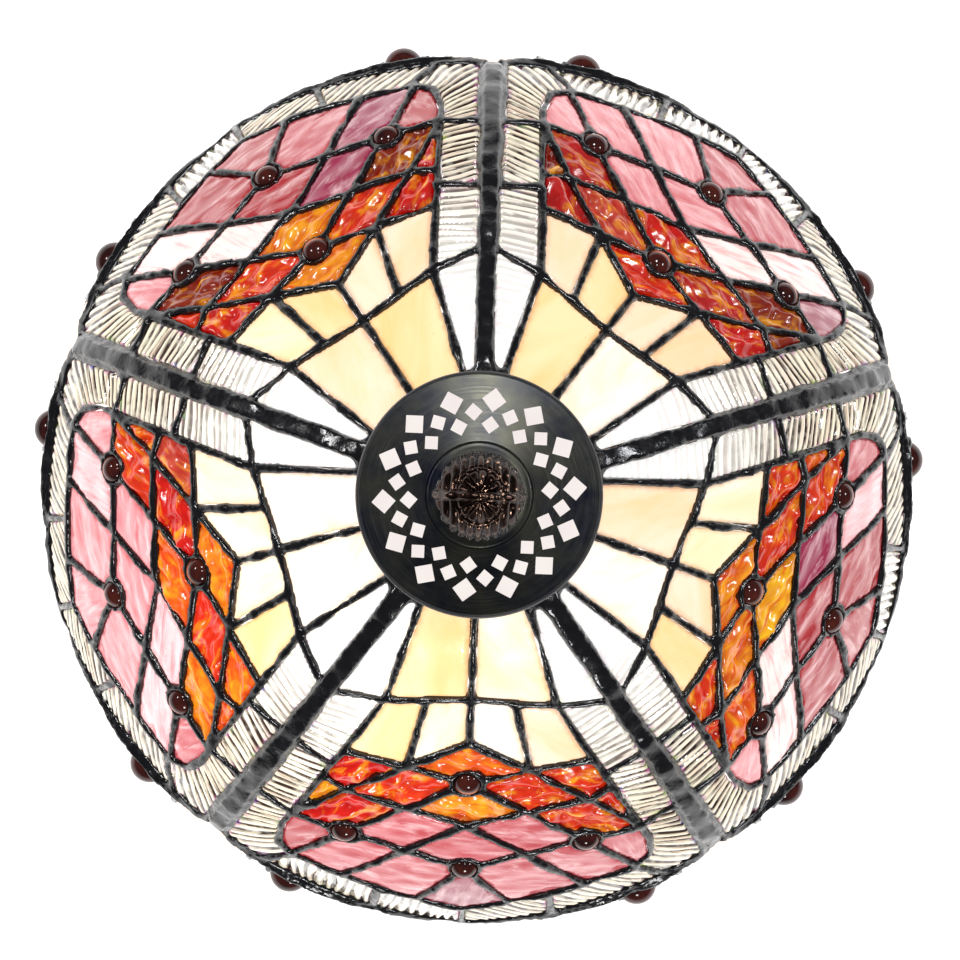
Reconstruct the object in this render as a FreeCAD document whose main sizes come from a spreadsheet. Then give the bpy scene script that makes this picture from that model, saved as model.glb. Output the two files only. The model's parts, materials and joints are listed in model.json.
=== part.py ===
import FreeCAD, Part
import Sketcher
import os
from math import sin, cos, tan, atan2, radians, degrees, hypot, pi, sqrt

# Stained glass table lamp: five-sided domed shade of leaded glass on a cast bronze-finish base.
# Millimetres, +Z up, origin at the centre of the underside of the felt pad. The middle of the
# front shade panel faces -Y.

DOC = FreeCAD.newDocument("StainedGlassLamp")
SHEET = DOC.addObject("Spreadsheet::Sheet", "Sheet")
VECTOR = FreeCAD.Vector

DIMENSIONS = [
    # heights along the lamp axis
    ("felt_thick", 2.0, "felt pad"),
    ("foot_rad", 75.0, "radius of the cast foot"),
    ("foot_high", 46.0, "foot height above the felt"),
    ("stem_low_high", 62.0, "lower stem"),
    ("knop_high", 14.0, "knop between the stems"),
    ("stem_up_high", 112.0, "upper stem"),
    ("crown_high", 14.0, "cup on top of the stem"),
    ("rod_rad", 5.0, "threaded pipe outside radius"),
    ("rod_bore", 3.5, "threaded pipe inside radius"),
    ("rod_top", 461.0, "top end of the threaded pipe"),
    ("rim_level", 285.0, "height of the shade rim"),
    # shade
    ("dome_high", 160.0, "shade height, rim to top ring"),
    ("belly_high", 25.0, "height of the widest place above the rim"),
    ("belly_rad", 150.5, "ridge radius at the widest place"),
    ("neck_rad", 36.0, "ridge radius at the top ring"),
    ("dome_power", 2.05, "how sharply the dome rounds over"),
    ("dome_bulge", 1.03, "roundness of the lower plan, 0 is a true pentagon"),
    ("lead_out", 0.8, "solder stands proud of the dome surface"),
    ("lead_in", 3.9, "solder depth inside the dome surface"),
    ("glass_out", -0.2, "outer glass face from the dome surface"),
    ("glass_in", 3.2, "inner glass face from the dome surface"),
    ("seam", 1.2, "half the width of a solder seam"),
    ("seam_wide", 1.5, "half the width of a frame seam"),
    ("ridge_half", 3.0, "half the width of a ridge came"),
    ("play", 0.05, "gap between glass and solder"),
    ("strip_wide", 17.0, "ridge to inner edge of the ripple strip"),
    ("strip_top", 6.5, "the same at the top ring"),
    ("col_pitch", 20.0, "diamond column pitch, in plan"),
    ("row_start", 87.0, "plan distance of the first diamond row"),
    ("row_pitch", 7.05, "plan pitch of the diamond rows"),
    ("row_growth", 0.15, "the rows open out towards the rim"),
    ("row_bow", 2.2, "the rows bow outwards by this for each column"),
    ("cream_reach", 65.5, "plan distance of the seam between the cream rows"),
    ("jewel_rad", 4.4, "panel jewel"),
    ("skirt_jewel_rad", 6.4, "skirt jewel"),
    ("bezel", 1.7, "solder bezel round a jewel"),
    ("rim_rad", 2.3, "half the height of the rim wire"),
    # cap and finial
    ("cap_rad", 38.0, "vented cap radius"),
    ("cap_thick", 1.2, "vented cap sheet"),
    ("vent_big", 5.3, "side of a large vent"),
    ("vent_small", 3.9, "side of a small vent"),
    ("vent_count", 14.0, "vents in each ring"),
    ("finial_rad", 12.0, "finial"),
    ("finial_high", 33.0, "finial"),
    # lampholder and bulb
    ("holder_off", 33.0, "lampholder foot from the lamp axis"),
    ("holder_level", 262.0, "lampholder foot height"),
    ("holder_tilt", 12.0, "lampholder lean, degrees"),
    ("holder_turn", 225.0, "direction the lampholder leans, degrees"),
    ("holder_rad", 18.0, "lampholder shell radius"),
    ("holder_high", 56.0, "lampholder length"),
    ("bulb_rad", 30.0, "bulb radius"),
    ("bulb_high", 104.0, "bulb length"),
    ("chain_long", 118.0, "pull chain"),
    ("bead_rad", 1.6, "pull chain bead"),
    # cord
    ("cord_rad", 2.8, "supply cord"),
    ("coil_rad", 96.0, "inner turn of the laid-down cord"),
    ("coil_pitch", 9.0, "spacing of the turns"),
    ("coil_turns", 2.25, "turns of cord"),
]
NUMBERS = {}
for row, (name, value, note) in enumerate(DIMENSIONS, start=1):
    SHEET.set("A%d" % row, name)
    SHEET.set("B%d" % row, str(value))
    SHEET.set("C%d" % row, note)
    SHEET.setAlias("B%d" % row, name)
DOC.recompute()


class Size:
    """A length that carries its number and its spreadsheet expression."""

    def __init__(self, number, text):
        self.number, self.text = float(number), text

    @staticmethod
    def of(other):
        return other if isinstance(other, Size) else Size(other, "%g" % other)

    def join(self, other, sign, number):
        return Size(number, "(%s %s %s)" % (self.text, sign, Size.of(other).text))

    def __add__(self, other):
        return self.join(other, "+", self.number + Size.of(other).number)

    def __sub__(self, other):
        return self.join(other, "-", self.number - Size.of(other).number)

    def __mul__(self, other):
        return self.join(other, "*", self.number * Size.of(other).number)


def size(name):
    return Size(SHEET.get(name), "Sheet." + name)


def val(name):
    return float(SHEET.get(name))


def plane_of(body, role):
    for feature in body.Origin.OriginFeatures:
        if feature.Role == role:
            return feature


def new_body(label, level=0):
    body = DOC.addObject("PartDesign::Body", label)
    body.Label = label
    level = Size.of(level)
    body.Placement = FreeCAD.Placement(VECTOR(0, 0, level.number), FreeCAD.Rotation())
    if level.text != "0":
        body.setExpression("Placement.Base.z", level.text)
    return body


def pin_point(sketch, geo, end, x, y):
    """Fix a sketch point by its two distances from the sketch origin."""
    for kind, q, axis in (("DistanceX", x, -2), ("DistanceY", y, -1)):
        q = Size.of(q)
        if abs(q.number) < 1e-9:
            sketch.addConstraint(Sketcher.Constraint("PointOnObject", geo, end, axis))
            continue
        index = sketch.addConstraint(Sketcher.Constraint(kind, -1, 1, geo, end, q.number))
        if "Sheet" in q.text:
            sketch.setExpression("Constraints[%d]" % index, q.text)


def outline(body, role, points, name):
    """Closed outline. A third entry bows the edge that leaves the point, as a share of its length:
    negative bows to the right of travel, which is outwards on an edge that climbs."""
    sketch = body.newObject("Sketcher::SketchObject", name)
    sketch.AttachmentSupport = (plane_of(body, role), [""])
    sketch.MapMode = "FlatFace"
    flat = [VECTOR(Size.of(p[0]).number, Size.of(p[1]).number, 0) for p in points]
    ends = []
    for i, p in enumerate(points):
        a, b = flat[i], flat[(i + 1) % len(flat)]
        if len(p) > 2 and p[2]:
            side = VECTOR(a.y - b.y, b.x - a.x, 0)
            geo = sketch.addGeometry(Part.Arc(a, (a + b) * 0.5 + side * p[2], b), False)
            forward = (sketch.getPoint(geo, 1) - a).Length < 1e-6
            ends.append((geo, 1 if forward else 2, 2 if forward else 1))
        else:
            geo = sketch.addGeometry(Part.LineSegment(a, b), False)
            ends.append((geo, 1, 2))
    for i, (geo, start, stop) in enumerate(ends):
        nxt = ends[(i + 1) % len(ends)]
        sketch.addConstraint(Sketcher.Constraint("Coincident", geo, stop, nxt[0], nxt[1]))
    for i, p in enumerate(points):
        pin_point(sketch, ends[i][0], ends[i][1], p[0], p[1])
    for i, p in enumerate(points):
        if len(p) > 2 and p[2]:
            radius = sketch.Geometry[ends[i][0]].Radius
            sketch.addConstraint(Sketcher.Constraint("Radius", ends[i][0], radius))
    return sketch


def lathe(label, points, level=0):
    """Turned piece: points are (radius, height) in order round the section."""
    body = new_body(label, level)
    turn = body.newObject("PartDesign::Revolution", label + "_turn")
    turn.Profile = outline(body, "XZ_Plane", points, label + "_section")
    turn.ReferenceAxis = (turn.Profile[0], ["V_Axis"])
    turn.Angle = 360
    body.Tip = turn
    return body


def polar(body, feature, count, name):
    pattern = body.newObject("PartDesign::PolarPattern", name)
    pattern.Originals = [feature]
    pattern.Axis = (plane_of(body, "Z_Axis"), [""])
    pattern.Angle = 360
    pattern.Occurrences = int(count)
    body.Tip = pattern
    return pattern


def pad(body, role, points, length, name, both=True):
    feature = body.newObject("PartDesign::Pad", name)
    feature.Profile = outline(body, role, points, name + "_outline")
    length = Size.of(length)
    feature.Length = length.number
    if "Sheet" in length.text:
        feature.setExpression("Length", length.text)
    feature.Midplane = both
    body.Tip = feature
    return feature


def pocket_through(body, role, points, name):
    feature = body.newObject("PartDesign::Pocket", name)
    feature.Profile = outline(body, role, points, name + "_outline")
    feature.Type = 1
    feature.Midplane = True
    body.Tip = feature
    return feature


def ribs(body, points, width, count, name):
    """Thin raised ribs that follow a section outline, set round the axis."""
    return polar(body, pad(body, "XZ_Plane", points, width, name), count, name + "_ring")


def group(label, solids):
    feature = DOC.addObject("Part::Feature", label)
    feature.Label = label
    feature.Shape = solids[0] if len(solids) == 1 else Part.makeCompound(solids)
    return feature


# ------------------------------------------------------------------ base and stem

def make_base():
    felt, foot = size("felt_thick"), size("foot_rad")
    lathe("felt_pad", [(0, 0), (foot - 3, 0), (foot - 3, felt), (0, felt)])
    top = size("foot_high")
    section = [(foot - 4, 0), (foot, 0), (foot, 4, -0.25), (foot - 6, 7.5), (foot - 8, 8.5, -0.12),
               (foot - 27, 17, 0.12), (foot - 46, 27, 0.16), (foot - 57, top - 4), (foot - 56, top),
               (5.3, top), (5.3, top - 12), (11, top - 12), (foot - 49, 20), (foot - 28, 11.5),
               (foot - 8, 5)]
    body = lathe("base_foot", section, felt)
    lobe = [(foot - 10, 5), (foot - 7.6, 9.3), (foot - 27, 18.6, 0.12), (foot - 46, 28.4, 0.16),
            (foot - 55, top - 6), (foot - 58, top - 8), (foot - 46, 25), (foot - 27, 15)]
    ribs(body, lobe, 3.0, 12, "leaf")
    hole = pocket_hole(body)
    body.Tip = hole
    level = felt
    lathe("base_plate", [(8, 0), (foot - 9.5, 0), (foot - 9.5, 1.5), (8, 1.5)], level)
    lathe("base_ballast", [(18, 0), (foot - 21, 0), (foot - 21, 5), (foot - 29, 8.5), (18, 8.5)],
          felt + 1.5)
    lathe("base_washer", [(5.2, 0), (10.5, 0), (10.5, 1.5), (5.2, 1.5)], felt + top - 13.5)
    hex_nut("base_nut", felt + top - 21.5)
    sleeve = size("cord_rad") + 0.3
    lathe("cord_bush", [(sleeve, 0), (3.95, 0), (3.95, 10.2), (4.9, 10.2), (4.9, 11.6), (sleeve, 11.6)])


def pocket_hole(body):
    """Cord exit through the side of the foot, on the +Y side."""
    feature = body.newObject("PartDesign::Pocket", "cord_exit")
    sketch = body.newObject("Sketcher::SketchObject", "cord_exit_circle")
    sketch.AttachmentSupport = (plane_of(body, "XZ_Plane"), [""])
    sketch.MapMode = "FlatFace"
    geo = sketch.addGeometry(Part.Circle(VECTOR(0, 6, 0), VECTOR(0, 0, 1), 4.0), False)
    sketch.addConstraint(Sketcher.Constraint("PointOnObject", geo, 3, -2))
    sketch.addConstraint(Sketcher.Constraint("DistanceY", -1, 1, geo, 3, 6.0))
    sketch.addConstraint(Sketcher.Constraint("Radius", geo, 4.0))
    feature.Profile = sketch
    feature.Length = 90
    return feature


def hex_nut(label, level, across=16.0, high=8.0):
    body = new_body(label, level)
    corner = across / sqrt(3.0)
    hexagon = [(corner * cos(radians(60 * i)), corner * sin(radians(60 * i))) for i in range(6)]
    pad(body, "XY_Plane", hexagon, high, label + "_hex", both=False)
    bore = body.newObject("PartDesign::Pocket", label + "_bore")
    sketch = body.newObject("Sketcher::SketchObject", label + "_circle")
    sketch.AttachmentSupport = (plane_of(body, "XY_Plane"), [""])
    sketch.MapMode = "FlatFace"
    geo = sketch.addGeometry(Part.Circle(VECTOR(0, 0, 0), VECTOR(0, 0, 1), 5.05), False)
    sketch.addConstraint(Sketcher.Constraint("Coincident", geo, 3, -1, 1))
    index = sketch.addConstraint(Sketcher.Constraint("Radius", geo, 5.05))
    sketch.setExpression("Constraints[%d]" % index, "Sheet.rod_rad + Sheet.play")
    bore.Profile = sketch
    bore.Type = 1
    bore.Midplane = True
    body.Tip = bore
    return body


def make_stem():
    level = size("felt_thick") + size("foot_high")
    bore, low = size("rod_rad") + 0.1, size("stem_low_high")
    body = lathe("stem_lower", [(bore, 0), (18, 0), (19.5, 3, -0.2), (17, 7), (15, 9, -0.1),
                                (20, 24, -0.16), (16.5, 43, 0.12), (10.5, low - 5), (12, low - 3),
                                (12, low), (bore, low)], level)
    ribs(body, [(14, 10), (16.3, 10, -0.1), (21.2, 24, -0.16), (17.6, 43, 0.12), (11.4, low - 6),
                (9, low - 6), (14, 40), (17, 24)], 2.4, 8, "lily")
    level = level + low
    high = size("knop_high")
    lathe("stem_knop", [(bore, 0), (10, 0), (14.5, 2.5, -0.3), (14.5, high - 2.5), (10, high),
                        (bore, high)], level)
    level = level + high
    high = size("stem_up_high")
    body = lathe("stem_upper", [(bore, 0), (12.5, 0), (12.5, 3), (10.2, 6), (8.2, 60), (7.4, high - 8),
                                (9.5, high - 4), (9.5, high), (bore, high)], level)
    ribs(body, [(6, 8), (11.3, 8), (9.3, 60), (8.4, high - 10), (6, high - 10)], 1.8, 8, "reed")
    level = level + high
    high = size("crown_high")
    body = lathe("stem_crown", [(bore, 0), (9, 0), (10, 4, 0.2), (21, high - 3), (22, high - 1),
                                (20.5, high, 0.0), (18.5, high - 2, -0.2), (8, 6), (8, high - 4),
                                (bore, high - 4)], level)
    ribs(body, [(8, 1), (10.6, 2.6, 0.2), (22.0, high - 3.6), (20.3, high - 2.6, -0.2), (9, 5.4)], 1.6, 12,
         "petal")
    # threaded pipe from the foot to the finial
    rod, hole = size("rod_rad"), size("rod_bore")
    start = 10.0
    lathe("threaded_pipe", [(hole, 0), (rod, 0), (rod, size("rod_top") - start),
                            (hole, size("rod_top") - start)], start)
    crown_top = level + (high - 4)
    hex_nut("stem_nut", crown_top + 0.02, 15.0, 6.0)
    under_bracket = size("holder_level") - 6.94
    gap = Size(under_bracket.number - crown_top.number - 6.06, "%s - %s - 6.06" % (under_bracket.text,
                                                                                 crown_top.text))
    lathe("bracket_spacer", [(bore, 0), (8, 0), (8, gap), (bore, gap)], crown_top + 6.04)


# ------------------------------------------------------------------ lampholder, bulb, chain, cord

def holder_frame():
    """Placement of the lampholder axis: foot of the axis, leaning outwards."""
    turn, lean = val("holder_turn"), val("holder_tilt")
    spin = FreeCAD.Rotation(VECTOR(0, 0, 1), turn) * FreeCAD.Rotation(VECTOR(0, 1, 0), lean)
    off = val("holder_off")
    base = VECTOR(off * cos(radians(turn)), off * sin(radians(turn)), val("holder_level"))
    return FreeCAD.Placement(base, spin)


def make_holder():
    rad, high = size("holder_rad"), size("holder_high")
    frame = holder_frame()
    shell = lathe("holder_shell", [(0, 0), (9, 0), (11, 2), (rad - 2, 9, -0.15), (rad, 14), (rad, high - 3),
                                   (rad + 1.2, high - 2), (rad + 1.2, high), (rad - 0.8, high),
                                   (rad - 0.8, 15, 0.1), (rad - 3, 10.5), (9, 3), (0, 3)])
    liner = lathe("holder_liner", [(0, 14), (rad - 1.0, 15.5), (rad - 1.0, high - 0.5), (rad - 3.2, high - 0.5),
                                   (rad - 3.2, 20), (0, 20)])
    screw = lathe("holder_screw_shell", [(11, 20.05), (rad - 3.3, 20.05), (rad - 3.3, high - 6),
                                         (rad - 3.9, high - 6), (rad - 3.9, 20.7), (11, 20.7)])
    contact = lathe("holder_contact", [(0, 20.05), (6, 20.05), (6, 20.5), (2.5, 21.4), (0, 21.4)])
    cap = lathe("bulb_cap", [(0, 0), (4.5, 0), (5, 1), (9, 3), (13, 6), (13.9, 7), (13.9, 23.5), (13.5, 25),
                             (13.0, 25), (13.0, 8), (8.5, 4.2), (0, 3.2)])
    bulb, tall = size("bulb_rad"), size("bulb_high")
    glass = lathe("bulb_glass", [(12.9, 20), (12.9, 30, 0.06), (bulb - 4.5, 55, -0.11), (bulb, 73, -0.13),
                                 (bulb - 8, 95.5, -0.15), (2, tall), (0, tall), (0, tall - 1.2),
                                 (2, tall - 1.2, 0.15),
                                 (bulb - 8.8, 94.6, 0.13), (bulb - 1.2, 73, 0.11),
                                 (bulb - 5.6, 55.4, -0.06), (11.8, 30.4), (11.8, 20)])
    stem = lathe("bulb_stem", [(0, 26), (9, 26), (11.5, 27.5), (11.5, 29.5), (6, 32), (5, 40), (5, 74, -0.2),
                               (1.5, 78), (0, 78)])
    lift = FreeCAD.Placement(VECTOR(0, 0, 21.45), FreeCAD.Rotation())
    for body in (shell, liner, screw, contact):
        body.Placement = frame
    for body in (cap, glass, stem):
        body.Placement = frame.multiply(lift)


def turned_solid(points):
    """Solid of revolution about Z from (radius, height) points."""
    wire = Part.makePolygon([VECTOR(r, 0, z) for r, z in points + points[:1]])
    return Part.Face(wire).revolve(VECTOR(0, 0, 0), VECTOR(0, 0, 1), 360)


def make_bracket():
    """Flat arm clamped on the pipe, carrying the lampholder."""
    turn = val("holder_turn")
    level, off = val("holder_level") - 3.5, val("holder_off")
    lean = radians(val("holder_tilt"))
    arm = Part.makeBox(off - 2, 12, 2.4, VECTOR(3, -6, 0))
    ring = Part.makeCylinder(11, 2.4)
    seat = Part.makeCylinder(10, 2.4, VECTOR(off, 0, 0))
    plate = arm.fuse([ring, seat]).cut(Part.makeCylinder(val("rod_rad") + 0.05, 8, VECTOR(0, 0, -2)))
    plate.translate(VECTOR(0, 0, level - 3.4))
    wedge = Part.makeCylinder(8, 9, VECTOR(off, 0, level - 3))
    cutter = Part.makeBox(60, 60, 30, VECTOR(-30, -30, 0.02))
    cutter.rotate(VECTOR(0, 0, 0), VECTOR(0, 1, 0), degrees(lean))
    cutter.translate(VECTOR(off, 0, val("holder_level")))
    cutter.translate(VECTOR(-0.02 * sin(lean), 0, -0.02 * cos(lean)))
    solid = plate.fuse(wedge).cut(cutter).removeSplitter()
    solid.rotate(VECTOR(0, 0, 0), VECTOR(0, 0, 1), turn)
    group("holder_bracket", [solid])
    nut_level = level - 3.4 + 2.42
    hex_nut("bracket_nut", nut_level, 15.0, 5.0)


def make_chain():
    """Bell-mouthed guide in the side of the lampholder, bead chain and turned pull."""
    turn = val("holder_turn")
    frame = holder_frame()
    side = frame.multVec(VECTOR(val("holder_rad") - 0.5, 0, 30))
    out = VECTOR(cos(radians(turn)), sin(radians(turn)), 0)
    guide = turned_solid([(2.6, 0), (4.2, 0), (4.2, 6.6), (5.6, 9.6), (5.6, 10.6), (4.9, 10.6), (3.4, 7.6),
                          (2.6, 6.6)])
    across = FreeCAD.Rotation(VECTOR(0, 0, 1), out)
    guide.Placement = FreeCAD.Placement(side + out * 0.3, across)
    shell = DOC.getObject("holder_shell")
    DOC.recompute()
    solid = shell.Shape.copy()
    outside = sorted(guide.cut(solid).Solids, key=lambda s: s.Volume)[-1]
    group("chain_guide", [outside])
    mouth = side + out * 14.1
    bead, long = val("bead_rad"), val("chain_long")
    count = int(long / (2.6 * bead))
    profile = []
    for i in range(count):
        middle = -(i + 0.5) * 2.6 * bead
        for k in range(9):
            a = radians(80 - 20 * k)
            profile.append((bead * cos(a), middle + bead * sin(a)))
    points = [(0, 0)] + profile + [(0, profile[-1][1] - 0.5)]
    chain = turned_solid(points)
    chain.translate(mouth + VECTOR(0, 0, -2.2))
    group("pull_chain", [chain])
    low = mouth.z - 2.2 + profile[-1][1] - 0.5
    pull = turned_solid([(0, 0), (1.2, 0), (2.4, -1), (2.2, -3), (3.2, -7), (5.4, -12), (6.4, -17), (5.6, -21),
                         (3.2, -23.5), (0, -24.4)])
    pull.translate(VECTOR(mouth.x, mouth.y, low - 0.02))
    group("chain_pull", [pull])
    eye = Part.makeSphere(1.5)
    eye.translate(mouth + VECTOR(0, 0, -0.6))
    group("chain_eye", [eye])


def make_cord():
    """Cord leaves the foot at the back and lies in loose turns round it; plug at the end."""
    rad, inner, pitch = val("cord_rad"), val("coil_rad"), val("coil_pitch")
    exit_high = val("felt_thick") + 6.0
    points = [VECTOR(0, val("foot_rad") - 16, exit_high), VECTOR(0, val("foot_rad") - 8, exit_high),
              VECTOR(0, val("foot_rad") + 0.5, exit_high), VECTOR(3, val("foot_rad") + 9, exit_high - 0.8),
              VECTOR(14, val("foot_rad") + 17, exit_high - 3), VECTOR(31, val("foot_rad") + 17, rad + 0.9)]
    steps = int(val("coil_turns") * 24)
    for i in range(3, steps + 1):
        a = radians(90 - 15 * i)
        grow = inner + pitch * i / 24.0
        points.append(VECTOR(grow * cos(a), grow * sin(a), rad + 0.15))
    curve = Part.BSplineCurve()
    curve.interpolate(points)
    start = curve.tangent(curve.FirstParameter)[0]
    ring = Part.Wire([Part.Circle(points[0], start, rad - 0.05).toShape()])
    pipe = Part.Wire([curve.toShape()]).makePipeShell([ring], True, True)
    group("power_cord", [pipe])
    # plug at the outer end
    end, way = curve.value(curve.LastParameter), curve.tangent(curve.LastParameter)[0]
    way = VECTOR(way.x, way.y, 0).normalize()
    body = turned_solid([(0, 0.1), (3.6, 0.1), (4.2, 10), (6.8, 16), (6.8, 36), (6.0, 37.5), (0, 37.5)])
    lift = VECTOR(end.x, end.y, 6.9)
    spin = FreeCAD.Rotation(VECTOR(0, 0, 1), way)
    body.Placement = FreeCAD.Placement(lift, spin)
    group("plug_body", [body])
    blades = []
    cross = VECTOR(-way.y, way.x, 0)
    for sign in (-1, 1):
        blade = Part.makeBox(1.5, 6.3, 17.0, VECTOR(-0.75, -3.15, 37.52))
        blade.Placement = FreeCAD.Placement(lift + cross * (sign * 4.6), FreeCAD.Rotation(way, 0) * spin)
        blades.append(blade)
    group("plug_blades", blades)


# ------------------------------------------------------------------ shade surface

HALF = 36.0                                   # half of one panel, degrees
DOME = {}


def load_dome():
    for name in ("dome_high", "belly_high", "belly_rad", "neck_rad", "dome_power", "dome_bulge",
                 "rim_level", "strip_wide", "strip_top", "cream_reach"):
        DOME[name] = val(name)


def ridge_radius(high):
    """Radius of the dome on a ridge, at a height above the rim."""
    share = abs(high - DOME["belly_high"]) / (DOME["dome_high"] - DOME["belly_high"])
    return DOME["neck_rad"] + (DOME["belly_rad"] - DOME["neck_rad"]) * (1 - share ** DOME["dome_power"])


def dome_radius(angle, high):
    """Radius at an angle from the middle of a panel: flat facets at the top, round at the belly."""
    share = (high - DOME["belly_high"]) / (DOME["dome_high"] - DOME["belly_high"])
    round_part = min(DOME["dome_bulge"], DOME["dome_bulge"] * (1 - share))
    flat_part = cos(radians(HALF)) / cos(radians(angle))
    return ridge_radius(high) * ((1 - round_part) * flat_part + round_part)


def at(angle, high, radius=dome_radius):
    r = radius(angle, high)
    return VECTOR(r * cos(radians(angle)), r * sin(radians(angle)), DOME["rim_level"] + high)


def outward(angle, high, radius=dome_radius):
    along = at(angle + 0.2, high, radius) - at(angle - 0.2, high, radius)
    up = at(angle, high + 0.2, radius) - at(angle, high - 0.2, radius)
    return along.cross(up).normalize()


def lifted(angle, high, offset, radius=dome_radius):
    return at(angle, high, radius) + outward(angle, high, radius) * offset


def drop(x, y):
    """Angle and height of the dome point that lies over a plan position."""
    angle, want = degrees(atan2(y, x)), hypot(x, y)
    low, high = DOME["belly_high"] + 1, DOME["dome_high"] + 2
    for _ in range(40):
        middle = (low + high) / 2
        if dome_radius(angle, middle) > want:
            low = middle
        else:
            high = middle
    return angle, low


def panel_shell(out, inside, bottom, top):
    """Curved slab over one panel between two offsets of the dome surface."""
    angles = [HALF * (i / 5.0 - 1) for i in range(11)]
    heights = [bottom + (top - bottom) * i / 16.0 for i in range(17)]
    sheets = []
    for offset in (out, -inside):
        surface = Part.BSplineSurface()
        surface.interpolate([[lifted(a, h, offset) for h in heights] for a in angles])
        sheets.append(surface.toShape())
    return close_between(sheets)


def close_between(sheets):
    outer, inner = sheets
    faces = [outer, inner]
    for edge in outer.Edges:
        ends = [v.Point for v in edge.Vertexes]
        mate = min(inner.Edges, key=lambda e: sum((a.sub(b)).Length for a, b in
                   zip(sorted(ends, key=tuple), sorted([v.Point for v in e.Vertexes], key=tuple))))
        faces.append(Part.makeRuledSurface(edge, mate))
    shell = Part.Shell(faces)
    shell.sewShape()
    solid = Part.Solid(shell)
    if solid.Volume < 0:
        solid.reverse()
    return solid


def side_line(x):
    """Plan y of the line between lattice and ripple strip, a set distance from the ridge."""
    reach = DOME["cream_reach"]
    gap = DOME["strip_wide"]
    if x < reach:
        gap -= (DOME["strip_wide"] - DOME["strip_top"]) * (reach - x) / (reach - 34.0)
    return (x * sin(radians(HALF)) - gap) / cos(radians(HALF))


def frame_bottom(angle):
    """Height of the lattice's lower edge: a shallow V with its point at the panel middle."""
    return 47.5 + 0.95 * abs(angle) - 0.012 * angle * angle


# the frame's outer lower edge: plan y against height above the rim
BORDER = [(0.0, 28.0), (56.0, 43.5), (78.0, 50.0), (86.5, 60.5)]


def border_height(y):
    y = abs(y)
    for (ya, za), (yb, zb) in zip(BORDER, BORDER[1:]):
        if y <= yb:
            return za + (zb - za) * (y - ya) / (yb - ya)
    return BORDER[-1][1]


def border_point(angle):
    """Angle and height of the border at an angle from the panel middle."""
    high = 40.0
    for _ in range(12):
        high = border_height(dome_radius(angle, high) * sin(radians(abs(angle))))
    return angle, high


def node(column, row):
    """Angle and height of a lattice crossing; column 3 is the panel middle."""
    away = column - 3
    if (abs(away), row) == (0, 7):
        return 0.0, frame_bottom(0)
    if (abs(away), row) == (1, 6):
        return 6.4 * away, frame_bottom(6.4)
    if (abs(away), row) == (2, 5):
        return 8.7 * away, frame_bottom(17.4)
    if (abs(away), row) == (3, 4):
        return 8.4 * away, frame_bottom(25.2)
    x = val("row_start") + val("row_pitch") * row + val("row_growth") * row * row
    x += val("row_bow") * abs(away)
    y = val("col_pitch") * abs(away)
    y = min(y, side_line(x))
    angle, high = drop(x, y)
    return (angle if away >= 0 else -angle), high


def mirror(points):
    return [(-a, z) for a, z in reversed(points)]


def plan(x, y):
    return drop(x, y)


def along_ridge(radius, gap=0.0):
    """Dome point at a ridge distance, stepped sideways from the ridge into the panel."""
    a = radians(HALF)
    return drop(radius * cos(a) + gap * sin(a), radius * sin(a) - gap * cos(a))


def corner_curve():
    """Rounded lower corner of the inner frame, from the side line to the bottom line."""
    return [plan(113.0, side_line(113.0)), plan(119.5, side_line(119.5) - 3.2)]


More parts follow.
